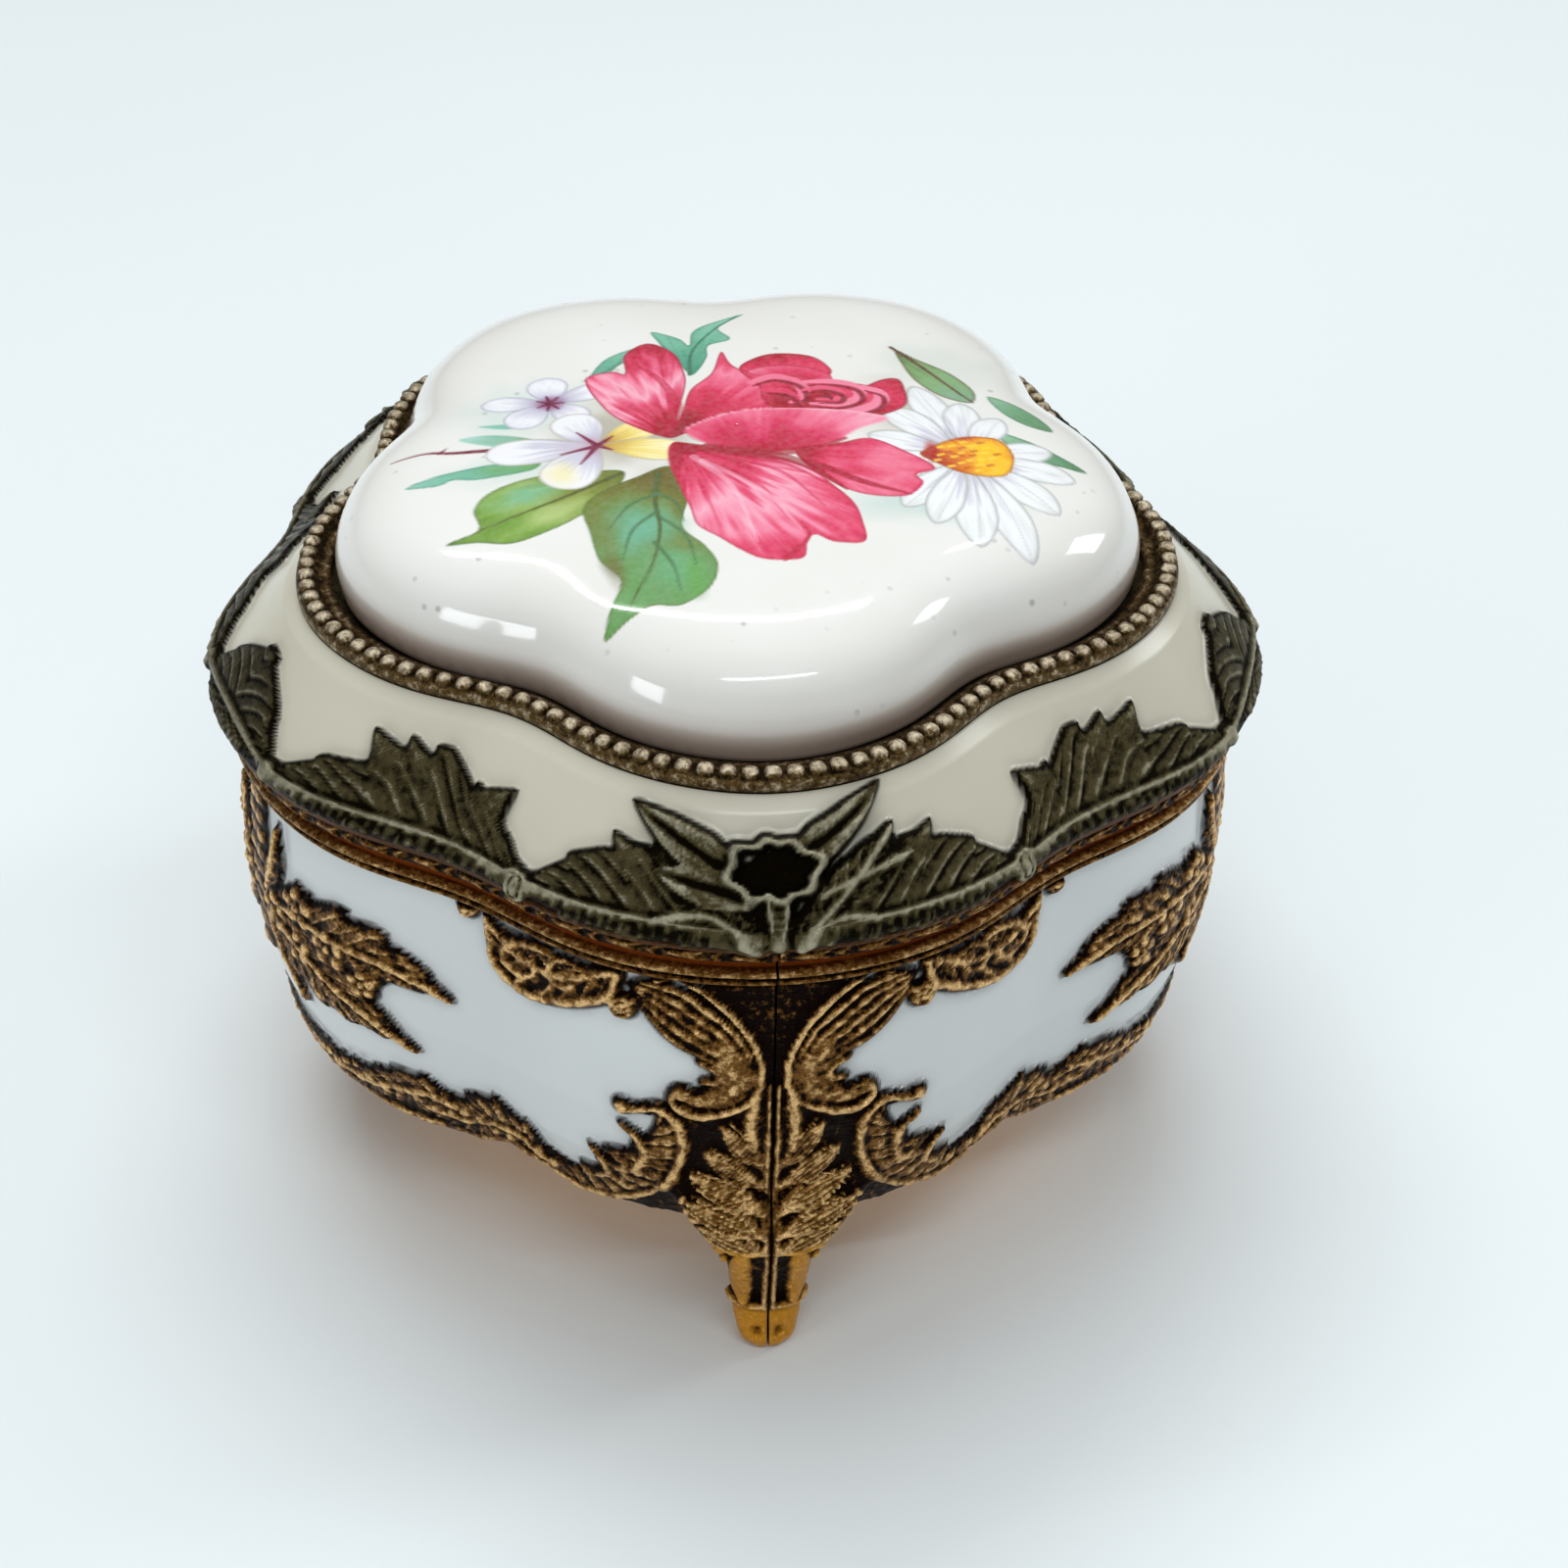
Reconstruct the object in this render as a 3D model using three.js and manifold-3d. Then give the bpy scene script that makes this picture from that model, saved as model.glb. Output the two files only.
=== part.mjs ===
// A footed trinket box with five lobes: cast and gilded walls, an enamelled lid casting with a
// beaded bezel, and a domed porcelain insert. Millimetres, +Z up, front leg towards -Y.
import * as THREE from 'three';
import { mergeVertices } from 'three/addons/utils/BufferGeometryUtils.js';
import Module from 'manifold-3d';

// ---- driving dimensions ----------------------------------------------------------------------
const RING_R = 50; // mean outer radius of the beaded bezel
const RIM_R = 61.2; // mean radius of the lid's lower rim
const WALL_R = 58.4; // mean outer radius of the wall, halfway down
const PORCELAIN_R = 45.3; // mean radius of the porcelain at its foot
const RING_Z = 77.5; // seat of the bezel and of the porcelain
const DOME_H = 13.6; // porcelain above the seat
const RIM_Z = 63.4; // lower edge of the lid
const WALL_TOP_Z = 62.9; // upper edge of the wall
const SKIRT_Z = 19.2; // lower edge of the wall, between the legs
const PLATE_Z = 24.6; // underside of the base plate
const CASTING = 2.3; // thickness of the castings
const SHEET = 0.9; // thickness of the sheet-metal parts
const GAP = 0.3; // between pieces that touch on the real box
const STEPS = 60; // segments round the whole plan
const LOBES = 5;
const LEG_ANGLES = [0, 144, -144]; // under three of the lobes, degrees from the front

const HINGE = { y: 60.9, z: 63, r: 1.7, bore: 1.1, pin: 0.8, pinLength: 26.2, width: 25, knuckles: 5 };
const RIVET = { head: 1.7, headH: 0.8, shank: 0.9, hole: 1.25 };
const SCREW = { head: 2.2, headH: 1.3, shank: 1.1, hole: 1.45 };

// ---- materials -------------------------------------------------------------------------------
const finish = (color, roughness, metalness) =>
  new THREE.MeshStandardMaterial({ color, roughness, metalness });
const porcelain = finish('#efece6', 0.12, 0);
const lidEnamel = finish('#d2ccbd', 0.3, 0);
const wallEnamel = finish('#cfdde6', 0.25, 0);
const agedBrass = finish('#6e5a36', 0.45, 1);
const gilt = finish('#b07a35', 0.4, 1);
const steel = finish('#9a9a98', 0.35, 1);
const velvet = finish('#7c1326', 0.95, 0);
const card = finish('#a98c66', 0.9, 0);

// ---- plan of the box -------------------------------------------------------------------------
const rad = THREE.MathUtils.degToRad;
const heading = (deg) => new THREE.Vector2(Math.sin(rad(deg)), -Math.cos(rad(deg)));

// How far the plan stands out from its mean circle, as a part of RING_R. The bezel is the more
// deeply waved of the two.
const waves = (t, [a, b, c]) =>
  a * Math.cos(LOBES * t) + b * Math.cos(2 * LOBES * t) + c * Math.cos(3 * LOBES * t);
const BEZEL_WAVES = [0.0674, -0.0093, 0.0027];
const RIM_WAVES = [0.0532, -0.0101, 0.0019];

function lobedRadius(r, t) {
  const outward = THREE.MathUtils.clamp((r - RING_R) / (RIM_R - RING_R), 0, 1);
  const wave = THREE.MathUtils.lerp(waves(t, BEZEL_WAVES), waves(t, RIM_WAVES), outward);
  return r + RING_R * wave * Math.min(1, r / RING_R);
}

// The wall, and all that lines it, keeps the rim's plan.
const wallRadius = (r, t) => r * (1 + (waves(t, RIM_WAVES) * RING_R) / RIM_R);

// A lathe ring whose every point is then pushed out to the lobed plan. The profile is a list of
// [mean radius, height] that runs anticlockwise.
function lobed(profile, plan = lobedRadius) {
  const points = profile.map(([r, z]) => new THREE.Vector2(r, z));
  const onAxis = profile[0][0] === 0;
  if (!onAxis) points.push(points[0].clone());
  const geometry = new THREE.LatheGeometry(points, STEPS).rotateX(Math.PI / 2);
  const at = geometry.attributes.position;
  for (let i = 0; i < at.count; i++) {
    const r = Math.hypot(at.getX(i), at.getY(i));
    if (r < 1e-6) continue;
    const scale = plan(r, Math.atan2(at.getX(i), -at.getY(i))) / r;
    at.setXY(i, at.getX(i) * scale, at.getY(i) * scale);
  }
  return geometry;
}

const plate = (r, low, high, plan) => lobed([[0, low], [r, low], [r, high], [0, high]], plan);
const sleeve = (inner, outer, low, high, plan) =>
  lobed([[inner, low], [outer, low], [outer, high], [inner, high]], plan);

// ---- solids ----------------------------------------------------------------------------------
const wasm = await Module();
wasm.setup();

function solid(geometry) {
  const bare = geometry.clone();
  bare.deleteAttribute('normal');
  bare.deleteAttribute('uv');
  const merged = mergeVertices(bare, 1e-4);
  const vertProperties = new Float32Array(merged.attributes.position.array);
  const triVerts = new Uint32Array(merged.index.array);
  return new wasm.Manifold(new wasm.Mesh({ numProp: 3, vertProperties, triVerts }));
}

function geometryOf(manifold) {
  const mesh = manifold.getMesh();
  const geometry = new THREE.BufferGeometry();
  geometry.setAttribute('position', new THREE.BufferAttribute(mesh.vertProperties, 3));
  geometry.setIndex(new THREE.BufferAttribute(mesh.triVerts, 1));
  return geometry;
}

const rod = (r, length, sides = 16) => new THREE.CylinderGeometry(r, r, length, sides);
const block = (x, y, z, at) => new THREE.BoxGeometry(x, y, z).translate(...at);

// A polygon of [y, z] points, extruded along X about x = 0.
function barAlongX(outline, width) {
  const shape = new THREE.Shape(outline.map(([y, z]) => new THREE.Vector2(y, z)));
  const bar = new THREE.ExtrudeGeometry(shape, { depth: width, bevelEnabled: false });
  return bar.translate(0, 0, -width / 2).rotateY(Math.PI / 2).rotateX(Math.PI / 2);
}

// Everything between two headings, drawn in so that neighbouring wedges leave a gap.
function wedge(from, to) {
  const middle = (from + to) / 2;
  const reach = 120;
  const apex = heading(middle).multiplyScalar(GAP / 2 / Math.sin(rad((to - from) / 2)));
  const corners = [0, 1, 2, 3].map((i) =>
    heading(THREE.MathUtils.lerp(from, to, i / 3)).multiplyScalar(reach).add(apex),
  );
  const shape = new THREE.Shape([apex, ...corners]);
  return new THREE.ExtrudeGeometry(shape, { depth: 2 * reach, bevelEnabled: false });
}

// A rivet or screw along +Z: the shank starts at 0, and the head is on its top.
function fastener({ head, headH, shank }, length) {
  const top = length + headH;
  const profile = [[0, 0], [shank, 0], [shank, length], [head, length], [head * 0.8, top], [0, top]];
  const points = profile.map(([r, z]) => new THREE.Vector2(r, z));
  return new THREE.LatheGeometry(points, 14).rotateX(Math.PI / 2);
}

// ---- assembly --------------------------------------------------------------------------------
const group = new THREE.Group();
const lid = new THREE.Group();
const body = new THREE.Group();
group.add(lid, body);

function piece(parent, name, geometry, material) {
  const mesh = new THREE.Mesh(geometry, material);
  mesh.name = name;
  parent.add(mesh);
  return mesh;
}

// ---- hinge -----------------------------------------------------------------------------------
const KNUCKLE = HINGE.width / HINGE.knuckles;
const knuckleX = (i) => (i - (HINGE.knuckles - 1) / 2) * KNUCKLE;
const BODY_LEAF = { near: 57.9, low: 52.6, high: 62.1 }; // an upright plate on the back wall
const RIVET_X = 8;
const RIVET_LENGTH = 5.4; // of the body's rivets; the lid's are 1 mm shorter
const BODY_RIVET_Z = 56.8;

// The lid's leaf lies on the slope of the lid. These are its two ends, on its inner face.
const slopeDir = new THREE.Vector2(-0.675, 0.738);
const slopeOut = new THREE.Vector2(slopeDir.y, -slopeDir.x);
const LEAF_FOOT = new THREE.Vector2(58.5, 66.1);
const LEAF_LENGTH = 8;

const onLeaf = (along, out) =>
  LEAF_FOOT.clone().addScaledVector(slopeDir, along).addScaledVector(slopeOut, out).toArray();

// The lid's rivets stand square to the slope, halfway up the leaf.
const LID_RIVET_ANGLE = Math.atan2(slopeOut.y, slopeOut.x);
const LID_RIVET_AT = onLeaf(LEAF_LENGTH * 0.6, 0);

// A rod laid along the hinge's axis, its middle at x.
const onPin = (bar, x) => bar.rotateZ(Math.PI / 2).translate(x, HINGE.y, HINGE.z);

// One leaf: a full-width plate, and for each of its knuckles a barrel and an arm to the plate.
function leaf(plateOutline, armOutline, knuckles) {
  let whole = solid(barAlongX(plateOutline, HINGE.width));
  let bores = null;
  for (const i of knuckles) {
    const barrel = onPin(rod(HINGE.r, KNUCKLE - GAP), knuckleX(i));
    const arm = barAlongX(armOutline, KNUCKLE - GAP).translate(knuckleX(i), 0, 0);
    const bore = solid(onPin(rod(HINGE.bore, KNUCKLE), knuckleX(i)));
    whole = whole.add(solid(barrel)).add(solid(arm));
    bores = bores ? bores.add(bore) : bore;
  }
  return whole.subtract(bores);
}

function bodyLeaf() {
  const { near, low, high } = BODY_LEAF;
  const far = near + SHEET;
  const plateOutline = [[near, low], [far, low], [far, high], [near, high]];
  const armOutline = [[near, high - 1.2], [HINGE.y, high - 1.2], [HINGE.y, high], [near, high]];
  return leaf(plateOutline, armOutline, [0, 2, 4]).subtract(bodyRivetHoles());
}

function lidLeaf() {
  const foot = [onLeaf(0, 0), onLeaf(0, SHEET)];
  const head = [onLeaf(LEAF_LENGTH, SHEET), onLeaf(LEAF_LENGTH, 0)];
  const armOutline = [
    [HINGE.y - HINGE.r, HINGE.z],
    [HINGE.y, HINGE.z + 1.2],
    [HINGE.y, HINGE.z + HINGE.r],
    onLeaf(0.4, SHEET),
    onLeaf(0.4, 0),
    [HINGE.y - HINGE.r, HINGE.z + 2.4],
  ];
  return leaf([...foot, ...head].reverse(), armOutline, [1, 3]).subtract(lidRivetHoles());
}

function bodyRivetHoles() {
  const holes = [-1, 1].map((side) =>
    solid(rod(RIVET.hole, 14).translate(side * RIVET_X, BODY_LEAF.near - 2.9, BODY_RIVET_Z)),
  );
  return holes[0].add(holes[1]);
}

function lidRivetHoles() {
  const holes = [-1, 1].map((side) =>
    solid(rod(RIVET.hole, 12).rotateX(LID_RIVET_ANGLE).translate(side * RIVET_X, ...LID_RIVET_AT)),
  );
  return holes[0].add(holes[1]);
}

piece(body, 'hinge_leaf_body', geometryOf(bodyLeaf()), gilt);
piece(lid, 'hinge_leaf_lid', geometryOf(lidLeaf()), agedBrass);
piece(body, 'hinge_pin', onPin(rod(HINGE.pin, HINGE.pinLength, 12), 0), steel);

[-1, 1].forEach((side, i) => {
  const lower = piece(body, `hinge_rivet_body_${i + 1}`, fastener(RIVET, RIVET_LENGTH), gilt);
  lower.rotation.x = -Math.PI / 2;
  lower.position.set(side * RIVET_X, BODY_LEAF.near + SHEET + GAP - RIVET_LENGTH, BODY_RIVET_Z);
  const shorter = RIVET_LENGTH - 1;
  const upper = piece(lid, `hinge_rivet_lid_${i + 1}`, fastener(RIVET, shorter), agedBrass);
  upper.rotation.x = LID_RIVET_ANGLE - Math.PI / 2;
  const [y, z] = onLeaf(LEAF_LENGTH * 0.6, SHEET + GAP - shorter);
  upper.position.set(side * RIVET_X, y, z);
});

// ---- lid -------------------------------------------------------------------------------------
const LEDGE_IN = 43; // inner radius of the ledge that carries the porcelain
const LEDGE_Z = RING_Z - 1; // top of that ledge
const LEDGE_DEPTH = 1.8;
const LID_SCREW = { r: 49, length: 3.2, angles: [72, 144, -144, -72] };
const SLOPE = { lipR: 60.5, lipZ: 65.7, topR: 51.8, topZ: 75.2 }; // outer face of the lid

function lidCasting() {
  const casting = solid(lobed([
    [RIM_R - CASTING, RIM_Z],
    [RIM_R, RIM_Z],
    [RIM_R, RIM_Z + 1.8],
    [SLOPE.lipR, SLOPE.lipZ],
    [SLOPE.topR, SLOPE.topZ],
    [RING_R, LEDGE_Z],
    [LEDGE_IN, LEDGE_Z],
    [LEDGE_IN, LEDGE_Z - LEDGE_DEPTH],
    [SLOPE.topR - CASTING, LEDGE_Z - LEDGE_DEPTH],
    [SLOPE.lipR - CASTING - 0.4, SLOPE.lipZ - 0.9],
  ]));
  return casting.subtract(lidScrewHoles()).subtract(lidRivetHoles());
}

function lidScrewHoles() {
  const holes = LID_SCREW.angles.map((deg) => {
    const at = heading(deg).multiplyScalar(LID_SCREW.r);
    return solid(rod(SCREW.hole, 12).rotateX(Math.PI / 2).translate(at.x, at.y, LEDGE_Z - 5));
  });
  return holes.reduce((all, hole) => all.add(hole));
}

// The porcelain is a hollow cap, open below, that stands on the ledge inside the bezel.
function porcelainCap() {
  const foot = LEDGE_Z + GAP;
  const top = RING_Z + DOME_H;
  return lobed([
    [0, top - 3],
    [20, top - 3.3],
    [32, top - 4.4],
    [38.5, top - 6.6],
    [41.4, top - 10],
    [42.2, foot],
    [PORCELAIN_R - 0.3, foot],
    [PORCELAIN_R + 0.3, RING_Z + 2.4],
    [PORCELAIN_R - 0.5, RING_Z + 5.6],
    [43, RING_Z + 8.8],
    [39.6, top - 2.5],
    [32.5, top - 1.05],
    [20, top - 0.3],
    [0, top],
  ]);
}

// The bezel is a flat ledge with a raised, beaded outer edge.
const bezel = () => lobed([
  [PORCELAIN_R + 0.9, LEDGE_Z + GAP],
  [RING_R, LEDGE_Z + GAP],
  [RING_R + 0.1, RING_Z + 0.3],
  [RING_R - 0.6, RING_Z + 1.3],
  [RING_R - 1.9, RING_Z + 1.3],
  [RING_R - 2.6, RING_Z + 0.3],
  [PORCELAIN_R + 0.9, RING_Z + 0.3],
]);

piece(lid, 'lid_casting', geometryOf(lidCasting()), lidEnamel);
piece(lid, 'bead_bezel', bezel(), agedBrass);
piece(lid, 'porcelain_insert', porcelainCap(), porcelain);

const BACKING_TOP = LEDGE_Z - LEDGE_DEPTH - GAP;
const backing = solid(plate(48.6, BACKING_TOP - SHEET, BACKING_TOP)).subtract(lidScrewHoles());
piece(lid, 'lid_backing_plate', geometryOf(backing), steel);

LID_SCREW.angles.forEach((deg, i) => {
  const at = heading(deg).multiplyScalar(LID_SCREW.r);
  const screw = piece(lid, `lid_screw_${i + 1}`, fastener(SCREW, LID_SCREW.length), steel);
  screw.rotation.x = Math.PI;
  screw.position.set(at.x, at.y, BACKING_TOP - SHEET - GAP + LID_SCREW.length);
});

const LID_BOARD = { r: 48.5, thick: 1, top: BACKING_TOP - SHEET - GAP - SCREW.headH - GAP };
const LID_PAD = { r: 48, thick: 3, top: LID_BOARD.top - LID_BOARD.thick - GAP };
piece(lid, 'lid_liner_board', plate(LID_BOARD.r, LID_BOARD.top - LID_BOARD.thick, LID_BOARD.top), card);
piece(lid, 'lid_liner_pad', plate(LID_PAD.r, LID_PAD.top - LID_PAD.thick, LID_PAD.top), velvet);

// ---- walls and legs --------------------------------------------------------------------------
// The wall's profile: a scarcely bulging side, a double fillet, a cove and the rim band.
const wallProfile = [
  [52.6, SKIRT_Z],
  [55, SKIRT_Z],
  [57.4, 27],
  [WALL_R, 35],
  [WALL_R, 46],
  [57.9, 55],
  [59.4, 56.3],
  [59.4, 58.4],
  [58.2, 59.6],
  [59.2, 60.9],
  [59.2, WALL_TOP_Z],
  [56, WALL_TOP_Z],
  [56, 35],
  [54.6, 27],
];

// A leg's level sections: height, radius of its middle, half its width, half its depth.
const legSections = [
  { z: 30, r: 58.2, w: 11.5, d: 1.3 },
  { z: 24, r: 58.6, w: 9.6, d: 2.2 },
  { z: 19, r: 59, w: 6.6, d: 2.9 },
  { z: 14, r: 58.6, w: 4.9, d: 2.8 },
  { z: 9, r: 57.8, w: 4.2, d: 2.5 },
  { z: 4, r: 58, w: 4, d: 2.5 },
  { z: 0, r: 58.8, w: 3.2, d: 2.3 },
];

function leg(deg) {
  const rows = legSections.length - 1;
  const geometry = new THREE.CylinderGeometry(1, 1, rows, 14, rows).rotateX(Math.PI / 2);
  const at = geometry.attributes.position;
  for (let i = 0; i < at.count; i++) {
    const { z, r, w, d } = legSections[Math.round(rows / 2 - at.getZ(i))];
    at.setXYZ(i, at.getX(i) * w, at.getY(i) * d - r, z);
  }
  return geometry.rotateZ(rad(deg));
}

// A flat boss on the back wall carries the hinge.
const BOSS = { low: 52, thick: 2.6 };
const hingeBoss = () => {
  const middle = [0, BODY_LEAF.near - GAP - BOSS.thick / 2, (WALL_TOP_Z + BOSS.low) / 2];
  return block(HINGE.width + 1, BOSS.thick, WALL_TOP_Z - BOSS.low, middle);
};

// Straps behind the legs join the walls: a curved upright with two screws, and a foot for the
// base plate's screw.
const STRAP = { outerLow: 53.7, outerHigh: 55.6, bendZ: 36, toe: 46.6, top: 50, half: 9 };
const STRAP_HOLE = { angle: 5, z: 44 };
const STRAP_SCREW = { head: 1.5, headH: 0.7, shank: 0.8, hole: 1.15, length: 2.9 };
const strapHeadR = wallRadius(STRAP.outerHigh - SHEET, rad(STRAP_HOLE.angle)) - GAP;
const strapScrewAngles = (deg) => [deg - STRAP_HOLE.angle, deg + STRAP_HOLE.angle];

function strapScrewHoles() {
  const length = STRAP_SCREW.length + GAP;
  const holes = LEG_ANGLES.flatMap(strapScrewAngles).map((deg) => {
    const hole = rod(STRAP_SCREW.hole, length).translate(0, -strapHeadR - length / 2, STRAP_HOLE.z);
    return solid(hole.rotateZ(rad(deg)));
  });
  return holes.reduce((all, hole) => all.add(hole));
}

let shell = solid(lobed(wallProfile, wallRadius));
for (const deg of LEG_ANGLES) shell = shell.add(solid(leg(deg)));
shell = shell.add(solid(hingeBoss())).subtract(bodyRivetHoles()).subtract(strapScrewHoles());

const panels = { body_panel_right: [0, 144], body_panel_back: [144, 216], body_panel_left: [216, 360] };
for (const [name, [from, to]] of Object.entries(panels)) {
  piece(body, name, geometryOf(shell.intersect(solid(wedge(from, to)))), wallEnamel);
}

// ---- floor, straps and lining ----------------------------------------------------------------
const FLOOR_Z = PLATE_Z + 2 * (SHEET + GAP);

const strapRing = solid(lobed([
  [STRAP.toe, FLOOR_Z - GAP - SHEET],
  [STRAP.outerLow, FLOOR_Z - GAP - SHEET],
  [STRAP.outerHigh, STRAP.bendZ],
  [STRAP.outerHigh, STRAP.top],
  [STRAP.outerHigh - SHEET, STRAP.top],
  [STRAP.outerHigh - SHEET, STRAP.bendZ],
  [STRAP.outerLow - SHEET, FLOOR_Z - GAP],
  [STRAP.toe, FLOOR_Z - GAP],
], wallRadius));

const BASE_SCREW_R = 51.5;
function baseScrewHoles() {
  const holes = LEG_ANGLES.map((deg) => {
    const hole = rod(SCREW.hole, 12).rotateX(Math.PI / 2).translate(0, -BASE_SCREW_R, PLATE_Z);
    return solid(hole.rotateZ(rad(deg)));
  });
  return holes.reduce((all, hole) => all.add(hole));
}

const strapNames = ['front', 'right', 'left'];
LEG_ANGLES.forEach((deg, i) => {
  const strap = strapRing.intersect(solid(wedge(deg - STRAP.half, deg + STRAP.half)));
  const drilled = strap.subtract(baseScrewHoles()).subtract(strapScrewHoles());
  piece(body, `joint_strap_${strapNames[i]}`, geometryOf(drilled), steel);

  const length = 2 * SHEET + 2 * GAP;
  const screw = piece(body, `base_screw_${strapNames[i]}`, fastener(SCREW, length), steel);
  const at = heading(deg).multiplyScalar(BASE_SCREW_R);
  screw.rotation.x = Math.PI;
  screw.position.set(at.x, at.y, PLATE_Z - GAP + length);

  strapScrewAngles(deg).forEach((angle, n) => {
    const tip = heading(angle).multiplyScalar(strapHeadR + STRAP_SCREW.length);
    const shape = fastener(STRAP_SCREW, STRAP_SCREW.length).rotateX(-Math.PI / 2).rotateZ(rad(angle));
    const small = piece(body, `strap_screw_${strapNames[i]}_${n + 1}`, shape, steel);
    small.position.set(tip.x, tip.y, STRAP_HOLE.z);
  });
});

const basePlate = solid(plate(52, PLATE_Z, PLATE_Z + SHEET, wallRadius)).subtract(baseScrewHoles());
piece(body, 'base_plate', geometryOf(basePlate), steel);
const FLOOR_BOARD_TOP = FLOOR_Z + 1.2;
const LINING_Z = FLOOR_BOARD_TOP + GAP;
piece(body, 'floor_board', plate(51.6, FLOOR_Z, FLOOR_BOARD_TOP, wallRadius), card);
piece(body, 'floor_pad', plate(51.4, LINING_Z, LINING_Z + 3.4, wallRadius), velvet);
piece(body, 'wall_liner', sleeve(51.9, 52.8, LINING_Z, WALL_TOP_Z - 0.8, wallRadius), velvet);

// The origin is under the middle of the box.
const middle = new THREE.Box3().setFromObject(group).getCenter(new THREE.Vector3());
group.position.set(-middle.x, -middle.y, 0);

export default group;
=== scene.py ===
"""A footed porcelain trinket box with a gilded body, dressed over its CAD frame."""
import math

import bpy
import numpy as np
from mathutils import Matrix, Vector


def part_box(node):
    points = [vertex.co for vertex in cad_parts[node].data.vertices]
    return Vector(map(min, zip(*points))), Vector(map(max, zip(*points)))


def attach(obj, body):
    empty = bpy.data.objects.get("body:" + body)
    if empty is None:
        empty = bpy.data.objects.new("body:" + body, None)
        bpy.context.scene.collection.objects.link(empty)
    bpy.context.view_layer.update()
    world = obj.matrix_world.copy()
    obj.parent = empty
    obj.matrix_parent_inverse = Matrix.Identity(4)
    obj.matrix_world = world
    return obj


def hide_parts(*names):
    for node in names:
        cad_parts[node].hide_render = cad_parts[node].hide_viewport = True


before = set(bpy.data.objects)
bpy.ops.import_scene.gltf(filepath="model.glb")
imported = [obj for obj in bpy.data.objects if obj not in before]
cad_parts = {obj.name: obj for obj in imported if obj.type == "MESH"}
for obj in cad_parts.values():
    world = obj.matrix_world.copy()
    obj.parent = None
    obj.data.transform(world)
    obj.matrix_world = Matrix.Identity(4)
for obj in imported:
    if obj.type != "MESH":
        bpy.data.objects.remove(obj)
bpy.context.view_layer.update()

MM = 0.001
RING_R, RIM_R = 50.0, 61.2
BEZEL_WAVES = (0.0674, -0.0093, 0.0027)
RIM_WAVES = (0.0532, -0.0101, 0.0019)
LEGS, BOUQUETS, HINGE = (0, 144, -144), (72, -72), (180,)  # headings in degrees
SEAM = 0.15  # half the gap between two wall castings
BEADS, BEAD_LINE, BEAD_Z = 132, 48.95, 78.42
LID_COLUMNS, LID_STEP = 1320, 0.29  # how finely the lid's slope is divided


# ---- plan of the box: lengths in millimetres, and headings t in radians -----------------------

def waves(t, sizes):
    """Waves that repeat 5, 10 and 15 times round the box."""
    return sum(size * np.cos(5 * (k + 1) * t) for k, size in enumerate(sizes))


def lid_plan(r, t):
    """The lid's lobed radius, for a mean radius r at heading t."""
    outward = np.clip((r - RING_R) / (RIM_R - RING_R), 0, 1)
    wave = (1 - outward) * waves(t, BEZEL_WAVES) + outward * waves(t, RIM_WAVES)
    return r + RING_R * wave * np.minimum(1, r / RING_R)


def wall_plan(r, t):
    """The wall's lobed radius, for a mean radius r at heading t."""
    return r * (1 + waves(t, RIM_WAVES) * RING_R / RIM_R)


CENTRE_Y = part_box("lid_casting")[0].y / MM + float(lid_plan(RIM_R, 0.0))


def place(r, t, z):
    """Points at radius r, heading t (0 is the front, positive to the right) and height z."""
    r, t, z = np.broadcast_arrays(r, t, z)
    return np.stack([r * np.sin(t), CENTRE_Y - r * np.cos(t), z], -1).astype(float)


def degrees_to(t, headings):
    """Degrees from t to the nearest of some headings, on either side."""
    degrees = np.degrees(t)
    return np.min([np.abs((degrees - h + 180) % 360 - 180) for h in headings], axis=0)


def ring_of(count):
    """Headings in even steps once round the box."""
    return np.arange(count) / count * 2 * np.pi


def ease(x, low, high):
    """A smooth step from 0 at low to 1 at high."""
    s = np.clip((x - low) / (high - low), 0, 1)
    return s * s * (3 - 2 * s)


def noise(x, y, size, seed):
    """Smooth random values from -1 to 1, about one hill to each length of size."""
    table = np.random.default_rng(seed).uniform(-1, 1, (64, 64))
    gx, gy = np.asarray(x) / size, np.asarray(y) / size
    i, j = np.floor(gx).astype(int), np.floor(gy).astype(int)
    u, v = gx - i, gy - j
    u, v = u * u * (3 - 2 * u), v * v * (3 - 2 * v)
    i0, i1, j0, j1 = i % 64, (i + 1) % 64, j % 64, (j + 1) % 64
    low = table[i0, j0] * (1 - u) + table[i1, j0] * u
    high = table[i0, j1] * (1 - u) + table[i1, j1] * u
    return low * (1 - v) + high * v


def spline(points, step=0.25, closed=False):
    """A smooth curve through the points, as many short steps."""
    p = np.asarray(points, float)
    if closed:
        p = np.concatenate([p[-1:], p, p[:2]])
    else:
        p = np.concatenate([2 * p[:1] - p[1:2], p, 2 * p[-1:] - p[-2:-1]])
    out = []
    for a, b, c, d in zip(p, p[1:], p[2:], p[3:]):
        count = max(2, int(np.hypot(*(c - b)) / step))
        s = (np.arange(count) / count)[:, None]
        bend = (2 * a - 5 * b + 4 * c - d) * s ** 2 + (3 * b - a - 3 * c + d) * s ** 3
        out.append(b + ((c - a) * s + bend) / 2)
    if not closed:
        out.append(p[-2:-1])
    return np.concatenate(out)


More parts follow.
